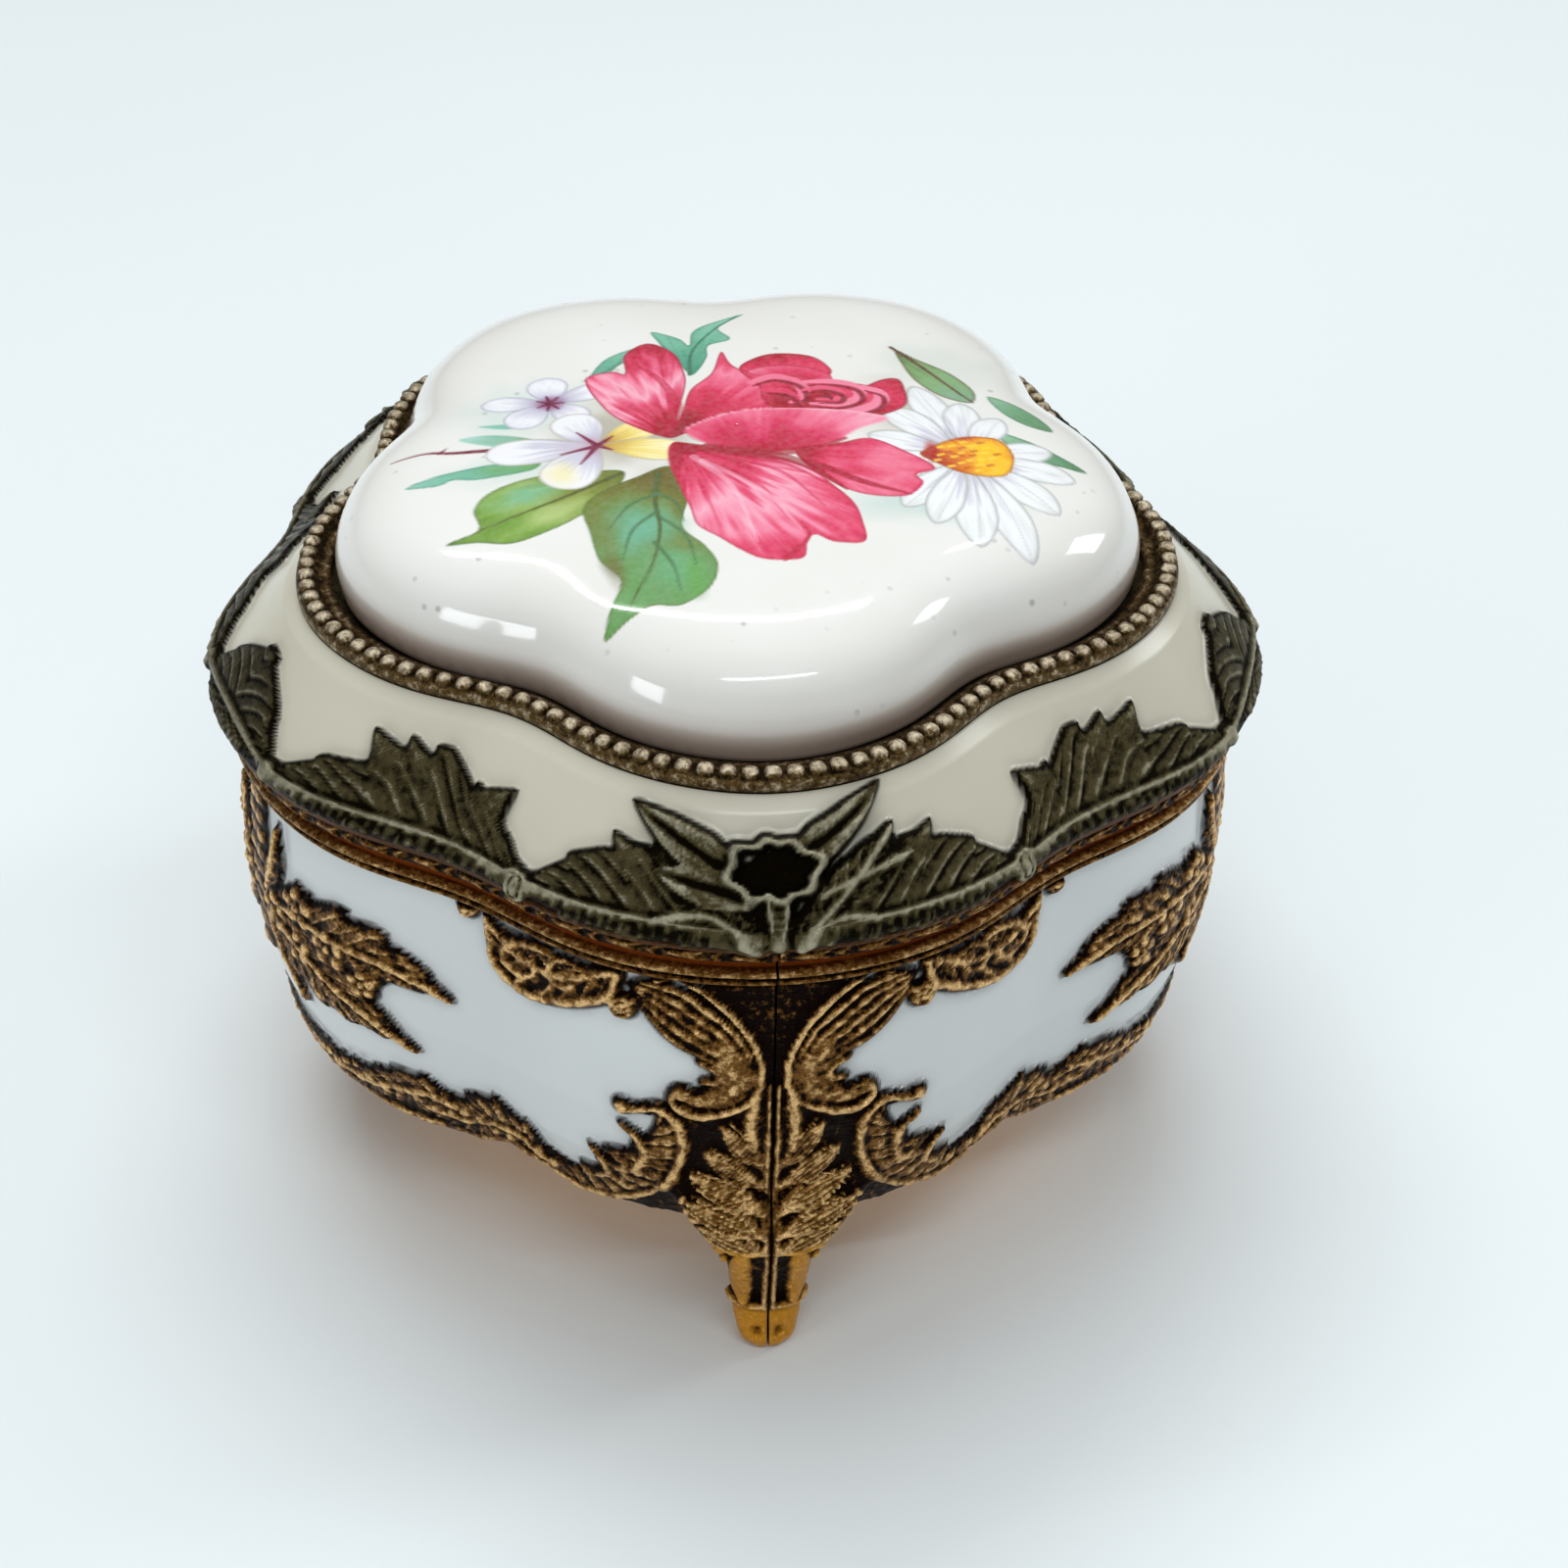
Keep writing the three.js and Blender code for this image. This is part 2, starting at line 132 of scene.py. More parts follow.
def along(path, x, y):
    """For each point, its place along the path from 0 to 1 and its distance, left positive."""
    tangent = np.gradient(path, axis=0)
    tangent /= np.maximum(np.hypot(tangent[:, 0], tangent[:, 1]), 1e-9)[:, None]
    place_on, distance = np.empty(len(x)), np.empty(len(x))
    half = np.hypot(*(path[1] - path[0])) / 2
    for first in range(0, len(x), 20000):
        part = slice(first, first + 20000)
        dx = x[part, None] - path[:, 0]
        dy = y[part, None] - path[:, 1]
        i = np.argmin(dx * dx + dy * dy, axis=1)
        dx, dy = x[part] - path[i, 0], y[part] - path[i, 1]
        ahead = dx * tangent[i, 0] + dy * tangent[i, 1]
        aside = tangent[i, 0] * dy - tangent[i, 1] * dx
        place_on[part] = (i + np.clip(ahead / (2 * half), -0.5, 0.5)) / (len(path) - 1)
        rest = ahead - np.clip(ahead, -half, half)
        distance[part] = np.copysign(np.hypot(aside, rest), aside)
    return np.clip(place_on, 0, 1), distance


# ---- raised ornament --------------------------------------------------------------------------

class Relief:
    """Heights over a flat field of points; each new motif is laid over the ones before it."""

    def __init__(self, x, y):
        self.shape = np.shape(x)
        self.x, self.y = np.ravel(x), np.ravel(y)
        self.h = np.zeros(self.x.size)

    def near(self, path, reach):
        """Which points lie in the path's box, grown by reach."""
        low, high = path.min(0) - reach, path.max(0) + reach
        inside = (self.x > low[0]) & (self.x < high[0]) & (self.y > low[1]) & (self.y < high[1])
        return np.nonzero(inside)[0]

    def lay(self, where, height):
        """Keeps the higher of the old and new heights."""
        self.h[where] = np.maximum(self.h[where], height)

    def rib(self, points, widths, height, grooves=0, cut=0.25, lean=0.0, edge=0.5):
        """A rounded band along a curve. The grooves run across it."""
        path = spline(points)
        widths = np.atleast_1d(widths)
        where = self.near(path, widths.max() + 0.2)
        if not len(where):
            return
        s, d = along(path, self.x[where], self.y[where])
        w = np.interp(s, np.linspace(0, 1, len(widths)), widths)
        q = np.abs(d) / w
        top = np.maximum(0, 1 - q ** 2) ** edge
        if grooves:
            phase = s * grooves + lean * d / w
            top *= 1 - cut * (0.5 - 0.5 * np.cos(2 * np.pi * phase)) ** 2
        self.lay(where, height * top * (q < 1))

    def ball(self, x, y, r, height):
        where = self.near(np.array([[x, y]]), r)
        q = np.hypot(self.x[where] - x, self.y[where] - y) / r
        self.lay(where, height * np.sqrt(np.maximum(0, 1 - q ** 2)))

    def curl(self, x, y, r, height, turn, hand=1):
        """A small snail: a ring that winds in to a ball."""
        s = np.linspace(0, 1, 14)
        angle = turn + hand * s * 1.6 * 2 * np.pi
        reach = r * (1 - 0.75 * s)
        path = np.stack([x + reach * np.cos(angle), y + reach * np.sin(angle)], 1)
        self.rib(path, [r * 0.34, r * 0.2], height)
        self.ball(x, y, r * 0.42, height * 1.1)

    def leaf(self, points, left, right, height, teeth=0, bite=0.3, veins=0, lean=0.6, rib=0.25,
            crown=0.3, cut=0.3):
        """A leaf round a midrib, with its own width on each side and toothed edges."""
        path = spline(points)
        left, right = np.atleast_1d(left), np.atleast_1d(right)
        where = self.near(path, max(left.max(), right.max()) + 0.2)
        if not len(where):
            return
        s, d = along(path, self.x[where], self.y[where])
        w_left = np.interp(s, np.linspace(0, 1, len(left)), left)
        w_right = np.interp(s, np.linspace(0, 1, len(right)), right)
        w = np.maximum(np.where(d > 0, w_left, w_right), 1e-3)
        q = np.abs(d) / w
        if teeth:
            w = w * (1 - bite * (1 - np.mod(s * teeth - 0.45 * np.minimum(q, 1.2), 1)) ** 1.5)
            q = np.abs(d) / w
        body = height * ((1 - crown) + crown * (1 - q ** 2))
        if veins:
            phase = np.mod(s * veins - lean * q * (1.4 + 0.6 * q), 1)
            ridge = np.exp(-((phase - 0.5) / 0.11) ** 2)
            groove = 0.9 * np.exp(-((phase - 0.74) / 0.12) ** 2)
            body += cut * (ridge - groove) * ease(q, 0.05, 0.25) * ease(-q, -0.97, -0.75)
        midrib = np.exp(-(d / 0.36) ** 2)
        gutters = np.exp(-((np.abs(d) - 0.8) / 0.32) ** 2)
        body += rib * midrib - 0.6 * rib * gutters
        body *= ease(w - np.abs(d), 0, 0.35)
        self.lay(where, np.where(q < 1, np.maximum(body, 0), 0))

    def field(self):
        return self.h.reshape(self.shape)


# the stippled ground round a leg: distance from its seam, and height
LEG_GROUND = [(-2, 60), (8, 57.5), (6.6, 54.6), (3.6, 51.2), (1.6, 47), (1.2, 43.4), (2.4, 40),
              (5.6, 38), (9.4, 37.4), (9.6, 33.5), (9.4, 31), (10.5, 27), (13.5, 22), (17, 19.8),
              (22, 18.4), (22, 14), (-2, 14)]


def leg_motif(relief):
    """The leg palette and the scrolls beside it. x is the distance from the leg's seam."""
    where = relief.near(np.array(LEG_GROUND, float), 0)
    x, y = relief.x[where], relief.y[where]
    inside = signed_inside(np.array(LEG_GROUND, float), x, y)
    stipple = 0.32 + 0.26 * np.maximum(0, noise(x, y, 0.62, 3)) + 0.08 * noise(x, y, 1.7, 4)
    relief.lay(where, stipple * ease(inside, -0.1, 0.4))
    acanthus_and_shell(relief)
    lower_scroll(relief)
    palmette(relief)
    skirt_border(relief)


def acanthus_and_shell(relief):
    # a strand and its curl ball, at the end of the shell leaf
    relief.curl(37, 56.0, 1.5, 1.3, 1.0)
    relief.rib([(36.3, 58.2), (34.6, 57.2), (33.4, 55.2), (33.6, 53.6)], [0.5, 0.9, 0.7, 0.4], 1.0)
    # the shell leaf under the fillet
    relief.leaf([(16.6, 56.4), (20.5, 53.8), (25.5, 52.4), (30.5, 53.2), (33.4, 55.4)],
                [0.6, 2.4, 3.0, 3.0, 0.6], [0.8, 3.0, 4.6, 4.4, 1.0], 1.0,
                teeth=6, bite=0.18, veins=8, lean=0.7, cut=0.45)
    relief.rib([(33.8, 54.6), (32.6, 50.2), (29.6, 48.4), (25.8, 48.4), (21.4, 50.0), (17.6, 52.4),
                (16.4, 56)], [0.5, 0.9, 0.9, 0.8, 0.9, 0.9, 0.5], 1.35)
    relief.rib([(24.6, 55.2), (27.4, 55), (30.6, 53.6), (31.2, 51.4), (28.8, 50.4), (26.6, 51.6),
                (27.4, 53)], [0.5, 0.7, 0.7, 0.6, 0.4], 1.35)
    relief.rib([(22.5, 55.4), (24.4, 54), (24.5, 52), (22.7, 51.4), (21.3, 52.6)],
               [0.4, 0.6, 0.6, 0.35], 1.25)
    # the acanthus scroll: long flutes above and a stippled hook below
    outer = np.array([(13.6, 56.2), (9.3, 56.2), (5.7, 53.5), (3.3, 50.5), (1.7, 46.8)])
    inner = np.array([(14.4, 52.3), (12.2, 48.9), (9.9, 46.9), (7.4, 46.0), (5.4, 44.7)])
    relief.leaf([(14.6, 54.4), (11.4, 53.4), (8.0, 50.6), (5.4, 47.8), (3.8, 44.8)],
                [1.0, 3.4, 3.6, 3.2, 2.4], [1.0, 2.4, 2.6, 2.4, 2.2], 0.7, teeth=4, bite=0.12, rib=0)
    for k in range(1, 6):
        flute = outer + (inner - outer) * (k / 5.4)
        relief.rib(flute, [0.35, 0.5, 0.55, 0.5, 0.3], 1.3 - 0.06 * k)
    relief.rib([(12.4, 56.1), (9.3, 56.4), (5.7, 53.5), (3.3, 50.5), (1.6, 46.6), (1.3, 43.2), (2.5, 40.3),
                (5.6, 38.2), (8.6, 37.8), (10.6, 39.2), (10.2, 41.2), (8.8, 41.2)],
               [0.25, 0.35, 0.35, 0.4, 0.4, 0.45, 0.45, 0.45, 0.55, 0.75, 0.6, 0.3], 1.5)
    relief.rib([(5.0, 47.4), (3.7, 44.2), (4.7, 41.3), (7.8, 40.0), (9.6, 40.4)],
               [1.6, 2.3, 2.1, 1.6, 0.8], 1.15, edge=0.3)
    relief.rib([(7.6, 45.4), (5.9, 44.4), (5.9, 43.0), (7.4, 42.6)], [0.5, 0.6, 0.6, 0.4], 1.3)
    relief.curl(15.9, 51.3, 1.5, 1.5, 2.2, -1)


def lower_scroll(relief):
    spine = [(15.6, 36.8), (12.2, 38.0), (10.0, 36.2), (9.4, 33.4), (9.8, 30), (10.9, 26.6),
             (13, 23.4), (15.6, 21.2), (18.6, 19.8), (22.2, 19.2), (26, 19.8)]
    relief.leaf(spine, [0.6, 2.4, 5.0, 6.6, 8.0, 8.8, 9.0, 7.8, 6.4, 5.4, 2.6],
                [0.5, 1.0, 1.2, 1.2, 1.0, 1.0, 1.0, 1.0, 1.0, 0.8, 0.4], 1.0,
                teeth=6, bite=0.38, veins=13, lean=0.5, cut=0.38, rib=0.45)
    relief.ball(16.2, 37.0, 1.3, 1.3)
    relief.rib([(16.4, 34.2), (14.6, 32.6), (13.8, 29.8), (14.9, 27.2), (17.2, 26.6)],
               [0.4, 0.7, 0.8, 0.7, 0.4], 1.3)
    relief.rib([(20.4, 28.6), (18.6, 26.8), (18.4, 24.6), (20, 23.2)], [0.4, 0.6, 0.7, 0.4], 1.3)


def palmette(relief):
    """Feathered lobes to one side of the leg's seam, and the smooth knee below them."""
    relief.rib([(0.5, 42.4), (0.5, 34), (0.5, 26), (0.5, 18)], [0.2, 0.4, 0.45, 0.45], 1.5)
    relief.leaf([(1.9, 33.0), (2.3, 37.2), (1.5, 42.2)], [0.8, 1.5, 1.3, 0.2], [0.8, 1.3, 1.0, 0.2], 1.15,
                veins=5, lean=1.4, cut=0.2, rib=0.35, crown=0.5)
    lobes = [((0.8, 29.6), (3.0, 32.8), (5.2, 36.0)), ((0.8, 26.2), (4.0, 29.0), (7.0, 31.6)),
             ((0.8, 23.0), (4.4, 25.4), (8.4, 27.4)), ((0.8, 20.2), (4.4, 22.0), (8.6, 23.8)),
             ((0.8, 17.8), (3.4, 19.0), (6.8, 20.4))]
    for k, (root, middle, tip) in enumerate(lobes):
        height = 0.95 + 0.09 * k
        relief.leaf([root, middle, tip], [0.9, 1.8, 2.1, 1.8, 0.7], [0.9, 1.8, 2.1, 1.7, 0.6], height,
                    teeth=3, bite=0.16, rib=0, crown=0.4)
        for side in (-1.5, -0.75, 0.0, 0.75, 1.5):
            line = [root, (middle[0] - 0.5 * side, middle[1] + 0.8 * side),
                    (tip[0] - 0.3 * side - 0.3, tip[1] + 0.5 * side)]
            relief.rib(line, [0.14, 0.3, 0.28, 0.1], height + 0.28)
    relief.rib([(5.9, 17.8), (7.6, 20.6), (9.6, 24.2)], [0.5, 1.1, 0.4], 1.3, grooves=5, cut=0.5)
    relief.rib([(4.8, 15.4), (6.2, 18.0), (7.8, 20.2)], [0.4, 1.0, 0.4], 1.2, grooves=4, cut=0.5)
    relief.rib([(2.9, 18.0), (3.2, 14.6), (3.0, 11), (2.7, 8.0)], [0.7, 1.3, 1.25, 1.2, 0.6], 1.1,
        edge=0.35)
    relief.rib([(0.45, 20), (0.45, 7)], [0.42, 0.42], 1.0)
    relief.rib([(0, 7.2), (2.2, 7.0), (4.4, 7.4)], [0.4, 0.4, 0.4], 0.9)


def skirt_border(relief):
    """A leafy border along the lower edge of the wall, out to the middle of the bouquet."""
    relief.rib([(22, 20.4), (30, 21.6), (37, 21.0), (45, 21.2), (53, 20.2), (62, 19.6), (72.4, 19.8)],
               [1.8, 2.8, 3.0, 3.0, 2.6, 1.9, 1.6], 0.8, grooves=34, cut=0.5, lean=0.9, edge=0.35)
    for k in range(15):
        relief.ball(26 + 2.3 * k, 22.6 - 0.9 * math.cos(1.7 * k), 0.95 + 0.2 * math.sin(2.3 * k), 1.35)
    relief.leaf([(26.6, 21.4), (31, 23.6), (35.5, 23.4), (40.5, 21.4), (46, 21.6)],
                [0.8, 3.6, 5.4, 4.6, 5.2, 2.6], [0.5, 2.4, 3.6, 3.8, 3.2, 2.2], 0.95,
                teeth=6, bite=0.26, veins=11, lean=0.6, cut=0.42, rib=0.4)
    relief.leaf([(40.5, 23.6), (45, 24.4), (50, 23.0), (55, 21.4), (60.5, 20.6)],
                [0.8, 3.4, 3.8, 3.0, 2.2, 0.8], [0.5, 2.8, 3.4, 3.2, 2.8, 1.0], 0.95,
                teeth=6, bite=0.26, veins=10, lean=0.6, cut=0.42, rib=0.4)
    relief.leaf([(55.5, 20.8), (60, 21.2), (66, 20.8), (72.4, 20.8)],
                [0.5, 2.2, 2.2, 1.6], [0.5, 2.2, 2.2, 1.6], 0.85,
                teeth=6, bite=0.3, veins=9, cut=0.4, rib=0.35)
    relief.rib([(24, 19.8), (30.4, 20.4), (33.5, 20.8), (38, 18.9), (42.5, 18.5), (49.4, 18.1),
                (55, 18.5), (62, 18.7), (72.4, 18.9)], [0.5, 0.7, 0.6, 0.7, 0.6, 0.7, 0.6, 0.7], 1.15)


def bouquet_motif(relief):
    """A spray on the wall; x is the distance from its middle, the same on both sides."""
    relief.rib([(0, 62), (0.6, 56), (1.0, 50), (0.6, 42), (0, 33)], [1.6, 2.4, 2.2, 3.2, 2.2], 1.0,
               grooves=11, cut=0.45)
    relief.leaf([(3.4, 43.2), (5.4, 48.0), (6.2, 53.6)], [1.2, 2.0, 1.6, 0.3],
                [1.2, 2.0, 1.6, 0.3], 1.1, veins=4, lean=1.2, cut=0.25, rib=0.4)
    relief.leaf([(6, 42.6), (12, 43.6), (19, 43.8), (26, 43.4), (32.6, 41.4)],
                [2.0, 4.0, 5.4, 5.2, 3.0, 0.4], [2.0, 4.0, 4.6, 4.2, 2.4, 0.4], 1.0,
                teeth=5, bite=0.24, veins=10, lean=1.3, cut=0.3, rib=0.5)
    relief.leaf([(5, 40.6), (10, 39.0), (16, 36.8), (21.6, 34.6), (27.2, 31.6)],
                [2.0, 4.4, 4.8, 4.0, 2.2, 0.4], [2.6, 6.4, 6.6, 4.8, 2.6, 0.4], 1.05,
                teeth=5, bite=0.24, veins=9, lean=1.3, cut=0.3, rib=0.5)
    relief.leaf([(3, 39), (6.6, 34.4), (9.4, 29.4)], [1.0, 3.2, 2.2, 0.3], [1.0, 3.0, 2.0, 0.3], 0.95,
                teeth=3, bite=0.2, veins=5, lean=1.2, cut=0.3, rib=0.4)
    for x, y, r in ((10.7, 44.9, 3.2), (16.0, 42.0, 3.0), (5.4, 41.0, 3.2), (10.4, 38.8, 2.6),
                    (20.8, 39.4, 2.4)):
        rosette(relief, x, y, r, 1.5)


def rosette(relief, x, y, r, height):
    """A small flower: five round petals about a boss."""
    for k in range(5):
        a = 2 * math.pi * k / 5 + 0.4
        relief.ball(x + 0.58 * r * math.cos(a), y + 0.58 * r * math.sin(a), 0.4 * r, height)
    relief.ball(x, y, 0.26 * r, height * 1.15)


def wall_relief(t, z):
    """Ornament height on the wall; one degree counts as one millimetre along it."""
    legs = Relief(degrees_to(t, LEGS), z)
    leg_motif(legs)
    sprays = Relief(degrees_to(t, BOUQUETS), z)
    bouquet_motif(sprays)
    return np.maximum(legs.field(), sprays.field())


def lid_relief(t, v):
    """Ornament height on the lid's slope, v millimetres up from its lower edge.

    Across the slope, one degree counts as one millimetre.
    """
    degrees = np.degrees(t)
    from_leg = np.stack([(degrees - leg + 180) % 360 - 180 for leg in LEGS])
    nearest = np.argmin(np.abs(from_leg), axis=0)
    x = np.take_along_axis(from_leg, nearest[None], 0)[0]
    pairs = Relief(np.abs(x), v)
    pairs.leaf([(2.0, 1.8), (6.5, 2.5), (13.8, 2.7), (20.5, 2.5), (25.8, 2.3)],
               [2.4, 6.0, 7.4, 8.6, 7.6, 5.4, 1.8], [1.2, 1.7, 1.9, 1.9, 1.8, 1.6, 1.0], 1.1,
               teeth=4, bite=0.14, veins=9, lean=1.5, cut=0.3, rib=0.4)
    pairs.leaf([(28.4, 2.2), (36, 2.7), (46.6, 2.9), (54, 2.5), (59.8, 2.1)],
               [2.2, 5.8, 7.6, 10.2, 9.6, 6.4, 5.2, 2.0], [1.2, 1.8, 2.0, 2.0, 1.9, 1.7, 1.0], 1.1,
               teeth=5, bite=0.14, veins=10, lean=1.7, cut=0.3, rib=0.4)
    pairs.leaf([(84.5, 2.4), (79, 3.6), (73, 4.0), (67.5, 3.6), (62, 2.4)],
               [0.8, 2.2, 3.2, 3.2, 2.4, 0.8], [2.0, 7.4, 9.8, 8.8, 5.6, 1.4], 1.1,
               teeth=4, bite=0.1, veins=9, lean=1.6, cut=0.3, rib=0.4)
    for start, middle, end in (((8, 2.4), (8.8, 7), (12.8, 11.0)), ((13, 3), (14.4, 7.6), (17.6, 11.2)),
                               ((36, 3), (34.6, 7), (31.6, 10.6)), ((44, 3), (47, 8), (51.6, 12.4)),
                               ((40, 3), (43.6, 8.2), (47.0, 12.8))):
        pairs.leaf([start, middle, end], [1.4, 2.8, 2.2, 0.3], [1.4, 2.8, 2.2, 0.3], 1.0, veins=3, lean=2.2,
                   cut=0.14, rib=0.05, crown=0.1)
    pairs.curl(27.4, 1.8, 1.5, 1.6, 0.5)
    pairs.ball(61, 2.4, 1.4, 1.6)
    pairs.rib([(2, 0.6), (14, 0.7), (26, 0.6)], [0.5, 0.6, 0.5], 0.9, grooves=16, cut=0.4)
    flower = Relief(x, v)
    daffodil(flower)
    height = np.maximum(pairs.field(), flower.field())
    return height * ease(degrees_to(t, HINGE), 14.0, 15.0)


def daffodil(relief):
    """The flower over each leg: pointed petals, a ruffled cup, a stem and side leaves."""
    for points, width in (([(-4.0, 8.4), (-9.5, 11.7), (-16.0, 15.2)], 2.7),
                          ([(1.0, 9.8), (6.6, 13.2), (12.6, 17.2)], 2.4),
                          ([(-3.4, 6.2), (-8.2, 7.4), (-13.0, 8.4)], 2.6)):
        relief.leaf(points, [width * 0.6, width, width * 0.7, 0.2], [width * 0.6, width, width * 0.7, 0.2],
                    1.35, veins=3, lean=2.4, cut=0.12, rib=-0.3, crown=-0.35)
    for points, width in (([(3.2, 2.6), (7.4, 6.8), (12.8, 12.4)], 3.4),
                          ([(-2.4, 0.9), (-7.0, 4.0), (-13.0, 2.6)], 2.8),
                          ([(2.0, 1.2), (6.0, 3.4), (10.4, 2.6)], 2.2),
                          ([(4.4, 6.2), (8.8, 7.6), (14.4, 8.8)], 2.6)):
        relief.leaf(points, [width * 0.5, width, width * 0.7, 0.3], [width * 0.5, width, width * 0.7, 0.3],
                    1.4, teeth=4, bite=0.16, veins=7, lean=1.1, cut=0.24, rib=0.4)
    relief.rib([(-0.3, 7.4), (-0.2, 4.6), (-0.2, 1.7)], [3.8, 2.2, 1.6, 1.4], 1.5, grooves=6, cut=0.2)
    relief.rib([(-1.3, 7.0), (-1.0, 4.6), (-0.7, 2.2)], [0.3, 0.35, 0.2], 1.95)
    relief.rib([(0.9, 7.0), (0.7, 4.6), (0.4, 2.2)], [0.3, 0.35, 0.2], 1.95)
    cup = np.hypot((relief.x + 0.5) / 5.4, (relief.y - 9.2) / 3.7)
    turn = np.arctan2(relief.y - 9.2, relief.x + 0.5)
    ruffle = 1 + 0.10 * np.sin(8 * turn) + 0.04 * np.sin(5 * turn + 1)
    rim = 2.6 * np.exp(-(np.abs(cup - 0.84 * ruffle) / 0.16) ** 3)
    hollow = cup < 0.74 * ruffle
    relief.h = np.maximum(relief.h, rim)
    relief.h[hollow] = np.minimum(relief.h[hollow], 0.34 + 1.6 * cup[hollow] ** 3)


def chased(height, x, y, depth):
    """Small tool marks over raised metal."""
    height = 0.45 * height + 0.55 * blur(height, 1)
    marks = noise(x, y, 0.8, 8) + 0.7 * noise(x, y, 1.7, 9)
    return np.maximum(0, height + depth * marks * ease(height, 0.45, 0.95))


def blur(field, width, wrap=False):
    """A soft average over the rows and columns of a field."""
    out = np.asarray(field, float)
    for axis in (0, 1):
        for _ in range(2):
            mode = "wrap" if wrap and axis == 1 else "edge"
            pad = [(0, 0), (0, 0)]
            pad[axis] = (width + 1, width)
            total = np.cumsum(np.pad(out, pad, mode=mode), axis=axis)
            size = out.shape[axis]
            upper = np.take(total, np.arange(2 * width + 1, 2 * width + 1 + size), axis=axis)
            lower = np.take(total, np.arange(0, size), axis=axis)
            out = (upper - lower) / (2 * width + 1)
    return out


def finish_and_shade_masks(height, wrap, base=0.30):
    """Where the casting is gilded, how far it is rubbed bright or sunk dark, with painted highlight and
    painted shade, and the grime and painted shade beside the ornament.
    """
    gilt = ease(height, 0.04, 0.22)
    metal = ease(height, 0.15, 0.5)
    # Real rubbing and patina, plus painted shade in hollows lower than their surroundings and painted
    # highlight on raised edges.
    wear = base + 0.18 * np.minimum(height, 1.3) - 0.2 * (1 - ease(height, 0.45, 0.85))
    for width, weight in ((2, 1.7), (6, 0.6)):
        around = blur(height * metal, width, wrap) / np.maximum(blur(metal, width, wrap), 0.05)
        wear = wear + np.clip(weight * metal * (height - around), -0.6, 0.32)
    wear = np.clip(wear, 0, 1)
    # Grime and painted shade on the enamel beside the raised ornament.
    halo = np.clip(blur(gilt, 3, wrap) * 1.6, 0, 1) * (1 - gilt)
    return {"gilt": gilt, "wear": wear, "halo": halo}


# ---- meshes ------------------------------------------------------------------------------------

def grid_faces(rows, columns, wrap_rows=False, wrap_columns=False):
    """Four-sided faces between the points of a grid."""
    i = np.arange(rows if wrap_rows else rows - 1)[:, None]
    j = np.arange(columns if wrap_columns else columns - 1)[None, :]
    i1, j1 = (i + 1) % rows, (j + 1) % columns
    corners = [i * columns + j, i * columns + j1, i1 * columns + j1, i1 * columns + j]
    return np.stack(corners, -1).reshape(-1, 4)


def outward_normals(points, closed):
    """Unit normals of a grid, away from the middle; closed when its columns go once round."""
    if closed:
        across = np.roll(points, -1, 1) - np.roll(points, 1, 1)
    else:
        across = np.gradient(points, axis=1)
    normal = np.cross(across, np.gradient(points, axis=0))
    normal = normal / np.maximum(np.linalg.norm(normal, axis=-1, keepdims=True), 1e-9)
    outward = points[..., :2] - np.array([0, CENTRE_Y])
    facing = np.einsum("ijk,ijk->ij", normal[..., :2], outward)
    return normal * np.sign(facing)[..., None]


class Shape:
    """Points, faces and per-point values of one mesh, in millimetres until it is built."""

    def __init__(self, *values):
        self.points, self.faces, self.count = [], [], 0
        self.values = {name: [] for name in values}

    def add(self, points, faces, **values):
        """Adds one closed part, turning its faces outwards."""
        points = np.reshape(points, (-1, 3))
        faces = [np.atleast_2d(f) for f in (faces if isinstance(faces, list) else [faces])]
        if self.volume(points, faces) < 0:
            faces = [f[:, ::-1] for f in faces]
        self.points.append(points)
        self.faces += [f + self.count for f in faces]
        self.count += len(points)
        for name, kept in self.values.items():
            given = values.get(name, 0.0)
            kept.append(np.broadcast_to(np.ravel(given) if np.ndim(given) else given, len(points)))

    @staticmethod
    def volume(points, faces):
        centre = points.mean(0)
        total = 0.0
        for f in faces:
            for k in range(1, f.shape[1] - 1):
                a, b, c = (points[f[:, n]] - centre for n in (0, k, k + 1))
                total += np.einsum("ij,ij->", a, np.cross(b, c))
        return total

    def build(self, name, material, body, nodes, colour=None):
        """Makes the piece, which rides on a body and stands for some CAD nodes."""
        mesh = bpy.data.meshes.new(name)
        points = np.concatenate(self.points) * MM
        mesh.vertices.add(len(points))
        mesh.vertices.foreach_set("co", points.astype(np.float32).ravel())
        sizes = np.concatenate([np.full(len(f), f.shape[1]) for f in self.faces])
        corners = np.concatenate([f.ravel() for f in self.faces])
        mesh.loops.add(len(corners))
        mesh.loops.foreach_set("vertex_index", corners.astype(np.int32))
        mesh.polygons.add(len(sizes))
        starts = np.concatenate([[0], np.cumsum(sizes)[:-1]])
        mesh.polygons.foreach_set("loop_start", starts.astype(np.int32))
        mesh.polygons.foreach_set("loop_total", sizes.astype(np.int32))
        mesh.polygons.foreach_set("use_smooth", sizes < 5)
        for key, parts in self.values.items():
            values = mesh.attributes.new(key, "FLOAT", "POINT").data
            values.foreach_set("value", np.concatenate(parts).astype(np.float32))
        if colour is not None:
            layer = mesh.attributes.new("paint", "FLOAT_COLOR", "POINT")
            layer.data.foreach_set("color", colour.astype(np.float32).ravel())
        mesh.materials.append(material)
        mesh.update(calc_edges=True)
        piece = bpy.data.objects.new(name, mesh)
        bpy.context.scene.collection.objects.link(piece)
        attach(piece, body)
        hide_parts(*nodes)
        return piece


def closed_ring(profile_r, profile_z, t, plan):
    """A profile, given as radii and heights, swept round the headings t."""
    r = plan(np.asarray(profile_r, float)[:, None], t[None, :])
    return place(r, t[None, :], np.asarray(profile_z, float)[:, None])


def lengths_along(path):
    """The length of a path up to each of its points."""
    return np.concatenate([[0], np.cumsum(np.hypot(*np.diff(path, axis=0).T))])


